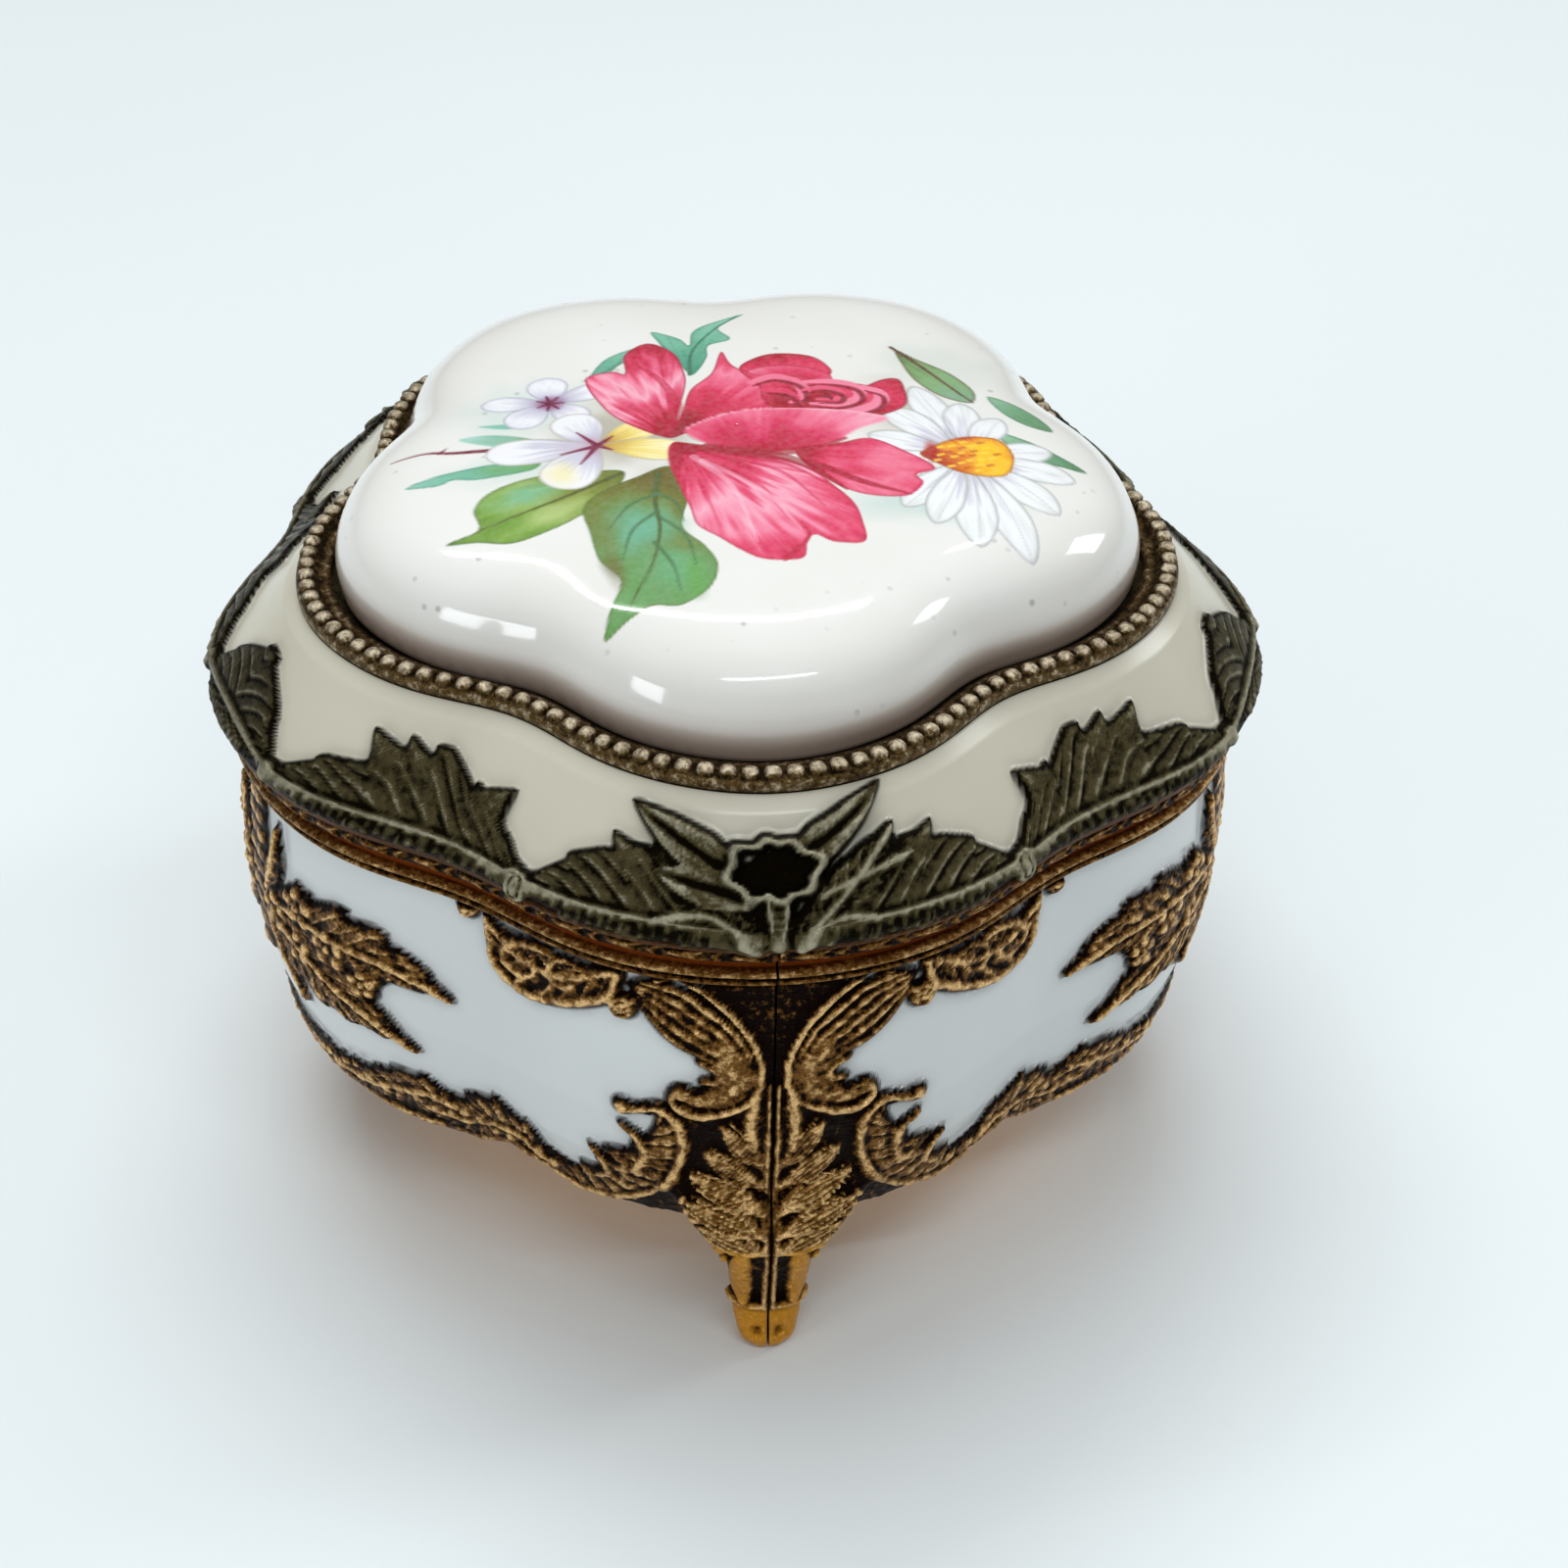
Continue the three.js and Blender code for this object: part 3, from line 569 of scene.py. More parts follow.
def resample(points, step):
    """Even steps along a straight-sided profile."""
    p = np.asarray(points, float)
    lengths = lengths_along(p)
    count = max(2, int(round(lengths[-1] / step)) + 1)
    s = np.linspace(0, lengths[-1], count)
    return np.interp(s, lengths, p[:, 0]), np.interp(s, lengths, p[:, 1]), s


# ---- the lid -----------------------------------------------------------------------------------

def lid_casting():
    t = ring_of(LID_COLUMNS)
    slope_r, slope_z, v = resample([(61.2, 63.4), (61.2, 65.2), (60.5, 65.7), (51.8, 75.2),
                                    (50, 76.5)], LID_STEP)
    ledge = np.array([(49.9, 76.5), (46.5, 76.5), (43, 76.5), (43, 74.7), (49.5, 74.7), (53, 70.6),
                      (57.7, 64.8), (58.9, 63.4), (60.6, 63.4)])
    r = np.concatenate([slope_r, ledge[:, 0]])
    z = np.concatenate([slope_z, ledge[:, 1]])
    points = closed_ring(r, z, t, lid_plan)
    rows = len(slope_r)
    headings, up = np.broadcast_arrays(t[None, :], v[:, None])
    height = chased(lid_relief(headings, up), headings * RIM_R, up, 0.035)
    lip = 0.35 * np.exp(-((up - 1.0) / 0.5) ** 2) * (1 - ease(height, 0, 0.4))
    height = height + lip
    points[:rows] += outward_normals(points[:rows], True) * height[..., None]
    masks = finish_and_shade_masks(height, True, 0.26)
    masks["gilt"] = np.maximum(masks["gilt"], 1 - ease(up, 0.9, 1.5))
    masks["cove"] = 0.75 * (1 - ease(up, 0.5, 1.3))
    full = {"gilt": 1.0, "wear": 0.45, "halo": 0.0, "cove": 0.0}
    shape = Shape("gilt", "wear", "halo", "cove")
    columns = len(t)
    values = {key: np.concatenate([field, np.full((len(ledge), columns), full[key])])
              for key, field in masks.items()}
    shape.add(points, grid_faces(len(r), columns, True, True), **values)
    # Near-black hollows are patina and painted shade, the pale tone on the heights is rubbed brass and
    # painted highlight, and the dark enamel tone is grime and painted shade.
    lid_colours = {"enamel": (0.62, 0.58, 0.465), "grime_and_shade": (0.11, 0.105, 0.08),
                   "deep": (0.007, 0.005, 0.002), "mid": (0.088, 0.071, 0.031),
                   "rubbed_and_highlight": (0.49, 0.455, 0.32), "cove": (0.16, 0.06, 0.02), "hoof": (0.3, 0.2, 0.1)}
    material = cast_material("lid enamel on antique brass", lid_colours, 0.24, 0.3, 0.13)
    return shape.build("lid_cast_relief", material, "lid", ["lid_casting"])


def bezel():
    """A flat moulded ring with a row of beads on it."""
    t = ring_of(780)
    profile = [(46.2, 76.8), (46.2, 77.75), (46.8, 77.9), (47.5, 77.8), (47.7, 78.25), (48.1, 78.45),
               (49.4, 78.4), (50.0, 78.0), (50.15, 77.5), (50.05, 76.8)]
    shape = Shape("gilt", "wear", "halo")
    r, z = np.array(profile).T
    # Brighter on the ring's raised edges and darker in the groove at the beads' foot: rubbed brass and
    # patina, with painted highlight and painted shade.
    wear = np.interp(r, [46.2, 46.9, 47.6, 48.0, 49.5, 50.1], [0.4, 0.62, 0.3, 0.22, 0.25, 0.6])
    points = closed_ring(r, z, t, lid_plan)
    shape.add(points, grid_faces(len(r), len(t), True, True), gilt=1.0,
              wear=np.broadcast_to(wear[:, None], points.shape[:2]))
    for heading, pitch in bead_headings():
        add_bead(shape, heading, pitch)
    # The pale tone is rubbed brass and painted highlight; the dark tone is patina and painted shade.
    colours = {"enamel": (0.3, 0.2, 0.1), "grime_and_shade": (0.05, 0.03, 0.01), "deep": (0.016, 0.010, 0.004),
               "mid": (0.15, 0.090, 0.032), "rubbed_and_highlight": (0.88, 0.75, 0.54)}
    material = cast_material("beaded brass", colours, 0.3, 0.36)
    return shape.build("beaded_bezel", material, "lid", ["bead_bezel"])


def bead_headings():
    """Each bead's heading, in even steps along the lobed line, and their pitch."""
    t = np.linspace(0, 2 * np.pi, 4001)
    reach = lengths_along(place(lid_plan(BEAD_LINE, t), t, 0.0)[:, :2])
    even = np.linspace(0, reach[-1], BEADS, endpoint=False)
    return [(heading, reach[-1] / BEADS) for heading in np.interp(even, reach, t)]


def add_bead(shape, heading, pitch):
    """One bead, a rounded square in plan."""
    here, ahead = (place(lid_plan(BEAD_LINE, t), t, 0.0) for t in (heading, heading + 0.01))
    tangent = (ahead - here) / np.linalg.norm(ahead - here)
    across = np.array([tangent[1], -tangent[0], 0.0])
    lat = np.linspace(-0.5 * np.pi, 0.5 * np.pi, 8)[:, None]
    lon = np.arange(12)[None, :] / 12 * 2 * np.pi
    square = (np.abs(np.cos(lon)) ** 3 + np.abs(np.sin(lon)) ** 3) ** (-1 / 3)
    u = pitch * 0.43 * np.cos(lat) * np.cos(lon) * square
    w = 1.02 * np.cos(lat) * np.sin(lon) * square
    points = here + u[..., None] * tangent + w[..., None] * across
    points[..., 2] = BEAD_Z + 0.82 * np.sin(lat)
    # Each bead is painted brighter towards its top: rubbed brass and painted highlight.
    wear = np.broadcast_to(0.42 + 0.6 * ease(lat, -0.1, 1.1), u.shape)
    shape.add(points, grid_faces(8, 12, False, True), gilt=1.0, wear=wear)


PORCELAIN = [(42.6, 76.8), (44.9, 76.8), (45.4, 78.2), (45.6, 80.0), (45.4, 81.8), (44.8, 83.4),
             (43.9, 85.1), (42.5, 86.7), (40.6, 88.0), (38.2, 88.95), (35.0, 89.65), (30, 90.2),
             (24, 90.6), (16, 90.88), (8, 91.05), (0.02, 91.1)]
PORCELAIN_INSIDE = [(0.02, 88.1), (20, 87.8), (32, 86.7), (38.5, 84.5), (41.4, 81.1)]


def porcelain_insert():
    """The domed cap, with its painting kept as a colour at each point."""
    columns = 720
    t = ring_of(columns)
    outline = spline(PORCELAIN, 0.05)
    lengths = lengths_along(outline)
    total = lengths[-1]
    stations = np.concatenate([np.linspace(0, 12, 22), np.linspace(12, total - 6, 162)[1:],
                               np.linspace(total - 6, total, 14)[1:]])
    r = np.interp(stations, lengths, outline[:, 0])
    z = np.interp(stations, lengths, outline[:, 1])
    inside = np.array(PORCELAIN_INSIDE)
    r, z = np.concatenate([r, inside[:, 0]]), np.concatenate([z, inside[:, 1]])
    points = closed_ring(r, z, t, lid_plan)
    shape = Shape("base")
    # Painted shade: the glaze turns greyish brown towards the bottom of the dome, near the bezel.
    base = ease(-z, -83.6, -78.0)
    shape.add(points, grid_faces(len(r), columns, True, True),
              base=np.broadcast_to(base[:, None], points.shape[:2]))
    flat = points.reshape(-1, 3)
    outer = np.repeat(np.arange(len(r)) < len(stations), columns)
    colour = paint_spray(flat[:, 0], flat[:, 1] - CENTRE_Y)
    colour[~outer, 3] = 0
    return shape.build("painted_porcelain", porcelain_material(), "lid", ["porcelain_insert"],
                       colour)


# ---- the painted spray -------------------------------------------------------------------------

class Painting:
    """Brushwork laid over bare porcelain: colours are display values from 0 to 255."""

    def __init__(self, x, y):
        self.x, self.y = x, y
        self.colour = np.full((len(x), 3), 235.0)
        self.cover = np.zeros(len(x))

    def near(self, low, high):
        inside = (self.x > low[0]) & (self.x < high[0]) & (self.y > low[1]) & (self.y < high[1])
        return np.nonzero(inside)[0]

    def lay(self, where, colour, cover):
        cover = np.clip(cover, 0, 1)
        kept = self.cover[where] * (1 - cover)
        both = kept + cover
        share = (cover / np.maximum(both, 1e-6))[:, None]
        self.colour[where] = self.colour[where] * (1 - share) + colour * share
        self.cover[where] = both

    def wash(self, x, y, size, colour, strength, turn=0.0):
        """A soft cloud of thin colour; size is its two half-lengths."""
        reach = max(size) * 1.6
        where = self.near((x - reach, y - reach), (x + reach, y + reach))
        dx, dy = self.x[where] - x, self.y[where] - y
        c, s = math.cos(turn), math.sin(turn)
        q = np.hypot((dx * c + dy * s) / size[0], (dy * c - dx * s) / size[1])
        q = q + 0.18 * noise(self.x[where], self.y[where], 2.3, 5)
        self.lay(where, np.array(colour, float), strength * (1 - ease(q, 0.2, 1.25)))

    def line(self, points, widths, colour, strength=1.0):
        """A brush line with its half-widths spread evenly from start to end."""
        path = spline(points, 0.2)
        widths = np.atleast_1d(widths)
        reach = widths.max() + 0.4
        where = self.near(path.min(0) - reach, path.max(0) + reach)
        s, d = along(path, self.x[where], self.y[where])
        w = np.interp(s, np.linspace(0, 1, len(widths)), widths)
        self.lay(where, np.array(colour, float), strength * ease(w + 0.14 - np.abs(d), 0, 0.28))

    def petal(self, outline, root, tones, streak=0.12, edge=None, strength=1.0, seed=1, grain=0.10):
        """A closed outline shaded from its root outwards through the list of tones."""
        path = spline(outline, 0.3, closed=True)
        where = self.near(path.min(0) - 0.4, path.max(0) + 0.4)
        if not len(where):
            return
        x, y = self.x[where], self.y[where]
        inside = signed_inside(path, x, y)
        dx, dy = x - root[0], y - root[1]
        reach = np.hypot(dx, dy)
        far = np.hypot(path[:, 0] - root[0], path[:, 1] - root[1]).max()
        turn = np.arctan2(dy, dx)
        hair = noise(turn * 22, reach * 0.22 + seed, 1.0, seed) * ease(reach, 1, 7)
        fine = noise(turn * 60, reach * 0.4, 1.0, seed + 7) * ease(reach, 7, 18)
        cloud = noise(x, y, 2.6, seed + 3)
        place_on = reach / far + streak * hair + 0.4 * streak * fine + grain * cloud
        stops = np.linspace(0, 1, len(tones))
        tones = np.array(tones, float)
        colour = np.stack([np.interp(place_on, stops, tones[:, k]) for k in range(3)], 1)
        if edge is not None:
            rim = np.exp(-(np.maximum(inside, 0) / 0.28) ** 2)[:, None] * 0.75
            colour = colour * (1 - rim) + np.array(edge, float) * rim
        self.lay(where, colour, strength * ease(inside, -0.14, 0.14))


def signed_inside(path, x, y):
    """Distance to a closed outline, positive inside it."""
    a, b = path, np.roll(path, -1, axis=0)
    out = np.empty(len(x))
    for first in range(0, len(x), 20000):
        px, py = x[first:first + 20000, None], y[first:first + 20000, None]
        run, rise = b[:, 0] - a[:, 0], b[:, 1] - a[:, 1]
        dot = (px - a[:, 0]) * run + (py - a[:, 1]) * rise
        s = np.clip(dot / (run ** 2 + rise ** 2 + 1e-9), 0, 1)
        near = np.hypot(px - a[:, 0] - s * run, py - a[:, 1] - s * rise).min(1)
        level = (a[:, 1] > py) != (b[:, 1] > py)
        safe = np.where(np.abs(rise) < 1e-9, 1e-9, rise)
        crossing = level & (px < a[:, 0] + (py - a[:, 1]) * run / safe)
        odd = crossing.sum(1) % 2 == 1
        out[first:first + 20000] = np.where(odd, near, -near)
    return out


def blade(base, tip, width, blunt):
    """A petal-shaped outline from base to tip."""
    base, tip = np.array(base, float), np.array(tip, float)
    run = tip - base
    side = np.array([-run[1], run[0]]) / np.hypot(*run)
    stations = [(0.12, 0.35), (0.4, 0.85), (0.68, 1.0), (0.9, blunt)]
    up = [base + run * s + side * width * w for s, w in stations]
    down = [base + run * s - side * width * w for s, w in reversed(stations)]
    return [base, *up, tip, *down]


WHITE, PALE, YELLOW = (240, 240, 240), (204, 200, 214), (240, 214, 118)
CRIMSON, ROSE, PINK, BLUSH = (172, 12, 44), (214, 44, 84), (234, 98, 130), (246, 172, 190)
DARK, WINE = (128, 6, 32), (150, 8, 38)
TEAL, GREEN, OLIVE = (112, 178, 148), (106, 152, 62), (112, 120, 44)


def paint_spray(x, y):
    """The spray's linear colour and cover at each point, x right and y back from the middle."""
    picture = Painting(x, y)
    washes(picture)
    leaves(picture)
    small_blossoms(picture)
    daisy(picture)
    rose(picture)
    linear = (np.clip(picture.colour, 0, 255) / 255) ** 2.2
    return np.concatenate([linear, picture.cover[:, None]], 1)


def washes(p):
    for x, y, size, colour, strength in (
            (20, -17.5, (11, 4.2), (150, 196, 186), 0.42), (-25, 6, (9, 8), (170, 206, 196), 0.34),
            (-13, -1, (9, 9), (128, 116, 70), 0.55), (-12, 11, (7, 5), (150, 168, 140), 0.30),
            (19, 4, (6, 7), (150, 134, 92), 0.40), (26, 15, (9, 7), (176, 196, 176), 0.30),
            (-26, -8, (9, 4), (160, 200, 184), 0.30), (-5, -11, (7, 5), (112, 104, 50), 0.55)):
        p.wash(x, y, size, colour, strength)


def leaves(p):
    p.line([(-40.1, -2.4), (-36, -2.2), (-32.9, -2.9), (-27, -3.2), (-22, -3.6)], [0.15, 0.4, 0.5],
           (122, 30, 56))
    p.line([(-34.6, -2.5), (-33.8, -1.6)], [0.3, 0.08], (122, 30, 56))
    p.petal([(-38.6, -9.2), (-34, -7.4), (-29, -6.4), (-23.4, -6.0), (-24, -8.2), (-30, -9.4),
        (-33, -9.0), (-35, -9.9)], (-22, -6.6), [GREEN, TEAL, (146, 200, 184)], seed=11,
        edge=(70, 140, 120))
    p.petal([(-32.4, 0.2), (-28, 0.4), (-22.6, -2.0), (-25.5, -3.2), (-30, -1.6)], (-22, -2.4),
            [OLIVE, TEAL, (150, 206, 190)], seed=12, strength=0.85)
    p.petal([(-30.2, 2.9), (-26.8, 2.8), (-24.4, 2.0), (-27, 1.6)], (-24, 2),
        [TEAL, (140, 200, 186)], seed=13)
    p.petal([(-12.2, 17.6), (-10.4, 20.2), (-12.6, 19.2), (-15, 16.9), (-16.6, 12.8), (-13.9, 14.4)],
            (-14, 14), [(96, 160, 140), TEAL, (150, 196, 180)], seed=14, edge=(70, 130, 110))
    p.line([(-17.4, 12.2), (-14.4, 14.6), (-8.8, 20.8)], [0.1, 0.25, 0.1], (84, 140, 116))
    top = [(-4.6, 12.8), (-6.4, 17.6), (-7.8, 21.2), (-8.6, 24.6), (-5.4, 22.6), (-4.2, 20.6), (-3.6, 24.2),
           (-1.4, 26.8), (3.2, 29.6), (-0.2, 25.6), (1.0, 22.2), (-1.8, 20.4), (-2.2, 17.4), (-3.4, 14)]
    p.petal(top, (-4.6, 12.8), [(60, 140, 110), TEAL, (150, 206, 186)], seed=15, edge=(60, 130, 104))
    p.line([(-4.6, 12.8), (-4.0, 18.6), (-1.2, 24.4), (2.4, 29.2)], [0.3, 0.15, 0.1], (54, 116, 88))
    p.petal([(21.0, 18.6), (23.4, 16.2), (27.2, 12.8), (29.4, 8.6), (28.6, 5.4), (25.2, 6.8), (22.6, 10.4),
             (21.4, 14.6)], (28.6, 5.6), [(130, 170, 140), (128, 166, 110), (96, 126, 70)], seed=16,
            edge=(96, 72, 44))
    p.line([(20.6, 19.2), (24.6, 12.8), (28.8, 5.6)], [0.3, 0.15], (96, 66, 46))
    p.petal([(30.8, 7.4), (33.6, 6.2), (36.4, 2.8), (37.6, -0.6), (34.6, 0.2), (32, 3.2)], (31, 6.8),
            [(150, 190, 160), (110, 160, 120), (96, 140, 96)], seed=17, edge=(76, 120, 84))
    p.petal([(30.4, -1.8), (34.0, -3.6), (37.2, -6.4), (40.2, -9.4), (35.4, -8.6), (32.2, -6.2)],
        (30.6, -2.6), [(150, 190, 160), (104, 156, 116), (84, 130, 90)], seed=18,
        edge=(66, 112, 76))
    lobed_leaves(p)


def lobed_leaves(p):
    p.petal([(-34.0, -21.0), (-30.4, -19.4), (-30.8, -15.6), (-28.8, -12.2), (-24, -9.8), (-18, -9.2),
             (-13.6, -9.6), (-15.0, -13.8), (-18.6, -18.0), (-22.6, -20.8), (-26.6, -22.4), (-30.4, -21.6)],
            (-13.6, -9.6), [OLIVE, (126, 138, 52), (150, 176, 92), (120, 158, 60), (92, 134, 40)], seed=21,
            edge=(78, 104, 34), streak=0.1)
    p.wash(-24.5, -13.2, (5.4, 2.6), (120, 184, 150), 0.75, 0.4)
    p.wash(-21.5, -17.2, (5.0, 1.5), (186, 204, 130), 0.6, 0.6)
    p.line([(-14, -10), (-21, -14.6), (-30.5, -19.8)], [0.35, 0.2, 0.1], (84, 92, 30))
    big = [(-8.4, -8.8), (-12.2, -10.8), (-16.4, -13.6), (-18.6, -17.0), (-18.0, -21.6), (-17.2, -26.6),
           (-15.0, -30.6), (-16.4, -34.8), (-17.0, -38.0), (-13.4, -36.2), (-11.6, -35.4), (-8.6, -35.8),
           (-5.4, -33.2), (-4.2, -29.2), (-5.4, -25.4), (-7.6, -21.6), (-6.8, -16.6), (-6.0, -12.4)]
    p.petal(big, (-9.8, -9.6), [(104, 88, 34), OLIVE, (110, 134, 70), (104, 152, 90),
        (100, 154, 84)], seed=22, edge=(86, 112, 40), streak=0.08)
    p.wash(-12.2, -20.8, (4.6, 6.6), (106, 176, 146), 0.9, 0.15)
    p.wash(-9.0, -29.0, (3.6, 4.6), (104, 168, 120), 0.75, 0.3)
    p.wash(-15.6, -28.4, (1.5, 3.6), (106, 104, 46), 0.75, 0.2)
    p.wash(-6.8, -31.2, (1.4, 4.2), (96, 158, 66), 0.6)
    p.line([(-9.8, -10.4), (-10.4, -16), (-10.2, -22), (-11.6, -29), (-14.6, -35.6)],
        [0.35, 0.25, 0.15, 0.1], (78, 96, 44))
    for start, middle, end in (((-10.2, -14.6), (-13.4, -16.8), (-16.0, -21.4)),
                               ((-10.3, -18.2), (-13.2, -21.6), (-14.6, -27)),
                               ((-10.3, -14.2), (-8.0, -16.8), (-7.4, -20.4)),
                               ((-10.2, -19.2), (-7.4, -23.4), (-6.6, -28.8)),
                               ((-10.9, -24.4), (-9.2, -28.6), (-8.6, -33.2))):
        p.line([start, middle, end], [0.28, 0.2, 0.08], (72, 112, 70), 0.8)


def small_blossoms(p):
    centre = (-21.6, 7.2)
    tips = [(-21.9, 13.6, 2.5), (-29.8, 8.2, 1.9), (-13.9, 10.8, 1.9), (-26.4, 1.8, 2.4), (-17.6, 2.6, 2.2)]
    for k, (x, y, width) in enumerate(tips):
        p.petal(blade(centre, (x, y), width, blunt=0.7), centre, [(150, 130, 160), PALE, WHITE,
            (226, 222, 232)], seed=30 + k, edge=(160, 156, 176), streak=0.2)
    p.wash(centre[0], centre[1], (1.7, 1.7), (150, 90, 130), 0.8)
    for k in range(7):
        a = 0.9 * k
        p.line([centre, (centre[0] + 1.5 * math.cos(a), centre[1] + 1.7 * math.sin(a))],
            [0.28, 0.14], (106, 22, 58))
    centre = (-16.4, -3.6)
    yellow = [(150, 90, 50), (206, 168, 78), YELLOW, (248, 234, 170), (250, 242, 206)]
    white = [(190, 150, 170), PALE, WHITE, (240, 236, 238)]
    for k, (x, y, width, tones) in enumerate((
            (-20.0, 4.0, 3.0, white), (-29.4, -4.4, 2.9, white), (-21.6, -12.4, 3.4, white),
            (-8.6, 1.8, 2.3, yellow), (-6.0, -5.6, 2.5, yellow))):
        p.petal(blade(centre, (x, y), width, blunt=0.75), centre, tones, seed=40 + k, edge=(176, 168, 164),
                streak=0.2)
    p.wash(-20.6, -9.4, (2.4, 3.0), (244, 226, 150), 0.6)
    for k, (x, y) in enumerate(((-18.6, -0.4), (-20.6, -5.2), (-18.4, -7.4), (-14.6, -1.6), (-14.8, -4.6))):
        p.line([centre, (x, y)], [0.4, 0.12], (120, 24, 60))


def daisy(p):
    centre = (26.2, -7.4)
    tips = [(22.0, 9.2, 2.3), (27.2, 5.2, 2.3), (31.4, 1.6, 2.2), (18.0, 4.0, 2.4),
        (15.2, -2.6, 2.2), (14.6, -8.8, 2.0), (36.6, -6.0, 2.3), (38.4, -12.0, 2.3),
        (17.6, -18.4, 2.2), (35.4, -18.8, 2.4), (31.2, -26.6, 2.4), (25.4, -25.4, 2.5),
        (20.8, -21.6, 2.2)]
    for k, (x, y, width) in enumerate(tips):
        start = (centre[0] + 0.14 * (x - centre[0]), centre[1] + 0.14 * (y - centre[1]))
        p.petal(blade(start, (x, y), width, blunt=0.62), centre, [(206, 200, 190), PALE, WHITE,
            WHITE, (226, 226, 224)], seed=50 + k, edge=(150, 152, 150), streak=0.3)
        middle = (0.5 * (x + centre[0]) + 0.4, 0.5 * (y + centre[1]))
        p.line([centre, middle, (x, y)], [0.16, 0.1, 0.05], (190, 190, 192), 0.7)
    p.petal(blade((20.8, -7.2), (31.8, -7.8), 4.5, blunt=0.82), (29.5, -9.5), [(250, 186, 10),
        (252, 196, 24), (232, 138, 24), (176, 44, 20)], seed=70, edge=(150, 70, 10), grain=0.3)
    p.wash(22.4, -6.4, (1.0, 2.6), (170, 34, 30), 0.8)
    for k in range(26):
        a, reach = 2.4 * k, 3.9 * math.sqrt((k + 0.5) / 26)
        x, y = centre[0] + reach * math.cos(a), centre[1] - 0.2 + reach * 0.9 * math.sin(a)
        p.line([(x, y), (x + 0.4, y + 0.15)], [0.22, 0.18], (255, 214, 60) if k % 3 else (196, 96, 10))


def rose(p):
    p.petal([(-9.2, 21.4), (-6.2, 18.4), (-5.2, 13.0), (-5.4, 9.2), (-6.6, 3), (-7.6, -2.6), (-12.9, 1.4),
             (-15.6, 6.0), (-17.2, 12.6), (-13.9, 14.2), (-12.4, 13.6), (-12.2, 18.4)], (-7.4, -2.8),
            [WINE, CRIMSON, (226, 74, 110), BLUSH, (238, 112, 142), (200, 30, 70), (176, 16, 52)], seed=81,
            edge=(160, 14, 48), streak=0.12)
    p.line([(-7.8, -1), (-6.6, 5), (-8.0, 10.8), (-10.6, 15.4)], [0.9, 0.6, 0.3], (190, 24, 62), 0.6)
    p.petal([(17.6, 10.2), (20.4, 11.0), (21.0, 8.0), (20.6, 4.4), (18.0, 2.2), (15.0, 1.2), (14, 6)],
            (14, 3), [DARK, CRIMSON, ROSE, (190, 26, 60)], seed=82, edge=DARK)
    p.petal([(-7.8, -2.4), (-6.2, 3.2), (-4.8, 8.8), (-2.0, 13.0), (-0.4, 18.6), (0.8, 14.8),
        (4.6, 10.6), (6.0, 6.6), (5.0, 3.2), (0, 2.0), (-4.6, -0.6)], (-7.6, -2.6), [(140, 4, 34),
        (170, 10, 44), (200, 30, 70), ROSE, PINK, (242, 130, 156), (222, 60, 96)], seed=83,
        edge=(170, 20, 54), streak=0.10)
    bloom(p)
    p.petal([(-6.2, -1.2), (-3.4, 1.6), (1.2, 3.6), (6.0, 3.8), (11.6, 3.4), (16.6, 2.2), (18.0, 0.8),
             (14.4, -1.4), (11.4, -4.2), (6.8, -6.0), (1.4, -6.2), (-3.2, -4.6)], (2, -9.6),
            [CRIMSON, (190, 22, 62), (218, 56, 96), (240, 120, 148), (248, 176, 194)], seed=85,
            edge=(250, 196, 208), streak=0.08)
    p.line([(-3.8, -4.6), (3, -6.4), (9, -5.6), (12.4, -3.6)], [0.5, 0.9, 0.7, 0.3], CRIMSON, 0.85)
    p.petal([(6.4, -6.2), (11.6, -4.6), (15.4, -3.6), (19.0, -6.4), (22.2, -10.2), (19.9, -11.8),
        (20.4, -13.6), (18.0, -16.2), (13.0, -15.6), (9.2, -12.2)], (2, -6), [WINE, CRIMSON,
        (220, 56, 94), (238, 116, 144), (226, 74, 108)], seed=86, edge=(176, 16, 52), streak=0.12)
    p.petal([(-7.4, -3.6), (-8.4, -7.4), (-7.6, -12.6), (-6.6, -17.8), (-6.0, -21.4), (-3.8, -24.0),
        (-1.6, -26.6), (0.6, -28.4), (3.4, -28.8), (5.4, -28.2), (6.0, -25.2), (7.0, -24.0),
        (9.0, -25.4), (12.4, -25.2), (12.6, -21.2), (12.0, -17.4), (10.0, -13.6), (7.6, -9.8),
        (3.4, -7.0), (-2.4, -5.4)], (-6.4, -4.6), [(160, 10, 42), (196, 26, 66), (226, 70, 108),
        (248, 168, 188), (240, 128, 156), (226, 70, 106), (206, 40, 80)], seed=87,
        edge=(186, 24, 62), streak=0.15, grain=0.07)
    for start, middle, end, tone in (((-4.6, -6.4), (1, -12), (4.2, -20.6), (224, 66, 104)),
            ((-3, -6.2), (4.2, -10.6), (8.6, -18), (206, 40, 80)), ((-6.2, -7), (-4.8, -14),
            (-3.4, -22), (220, 60, 98)), ((-1, -6.4), (5.4, -9.4), (11, -15.4), (186, 20, 58)),
            ((-5.4, -7), (-1.4, -14), (0.4, -25), (250, 196, 208)), ((-4.4, -8), (2.0, -15),
            (5.6, -23), (250, 190, 204))):
        p.line([start, middle, end], [0.5, 0.3, 0.1], tone, 0.55)
    p.line([(-7.2, -4.0), (-1.6, -5.8), (4.4, -7.4), (8.0, -10), (11.4, -14.6)], [0.5, 0.8, 0.9, 0.6, 0.2],
           (160, 10, 42), 0.8)
    p.line([(9.2, -9.6), (13.6, -13.2), (18.6, -15.8)], [0.5, 0.5, 0.15], (166, 14, 46), 0.8)
    p.line([(3.2, -28.6), (6.2, -24.4), (5.6, -21.4)], [0.35, 0.3, 0.1], (186, 22, 60), 0.8)


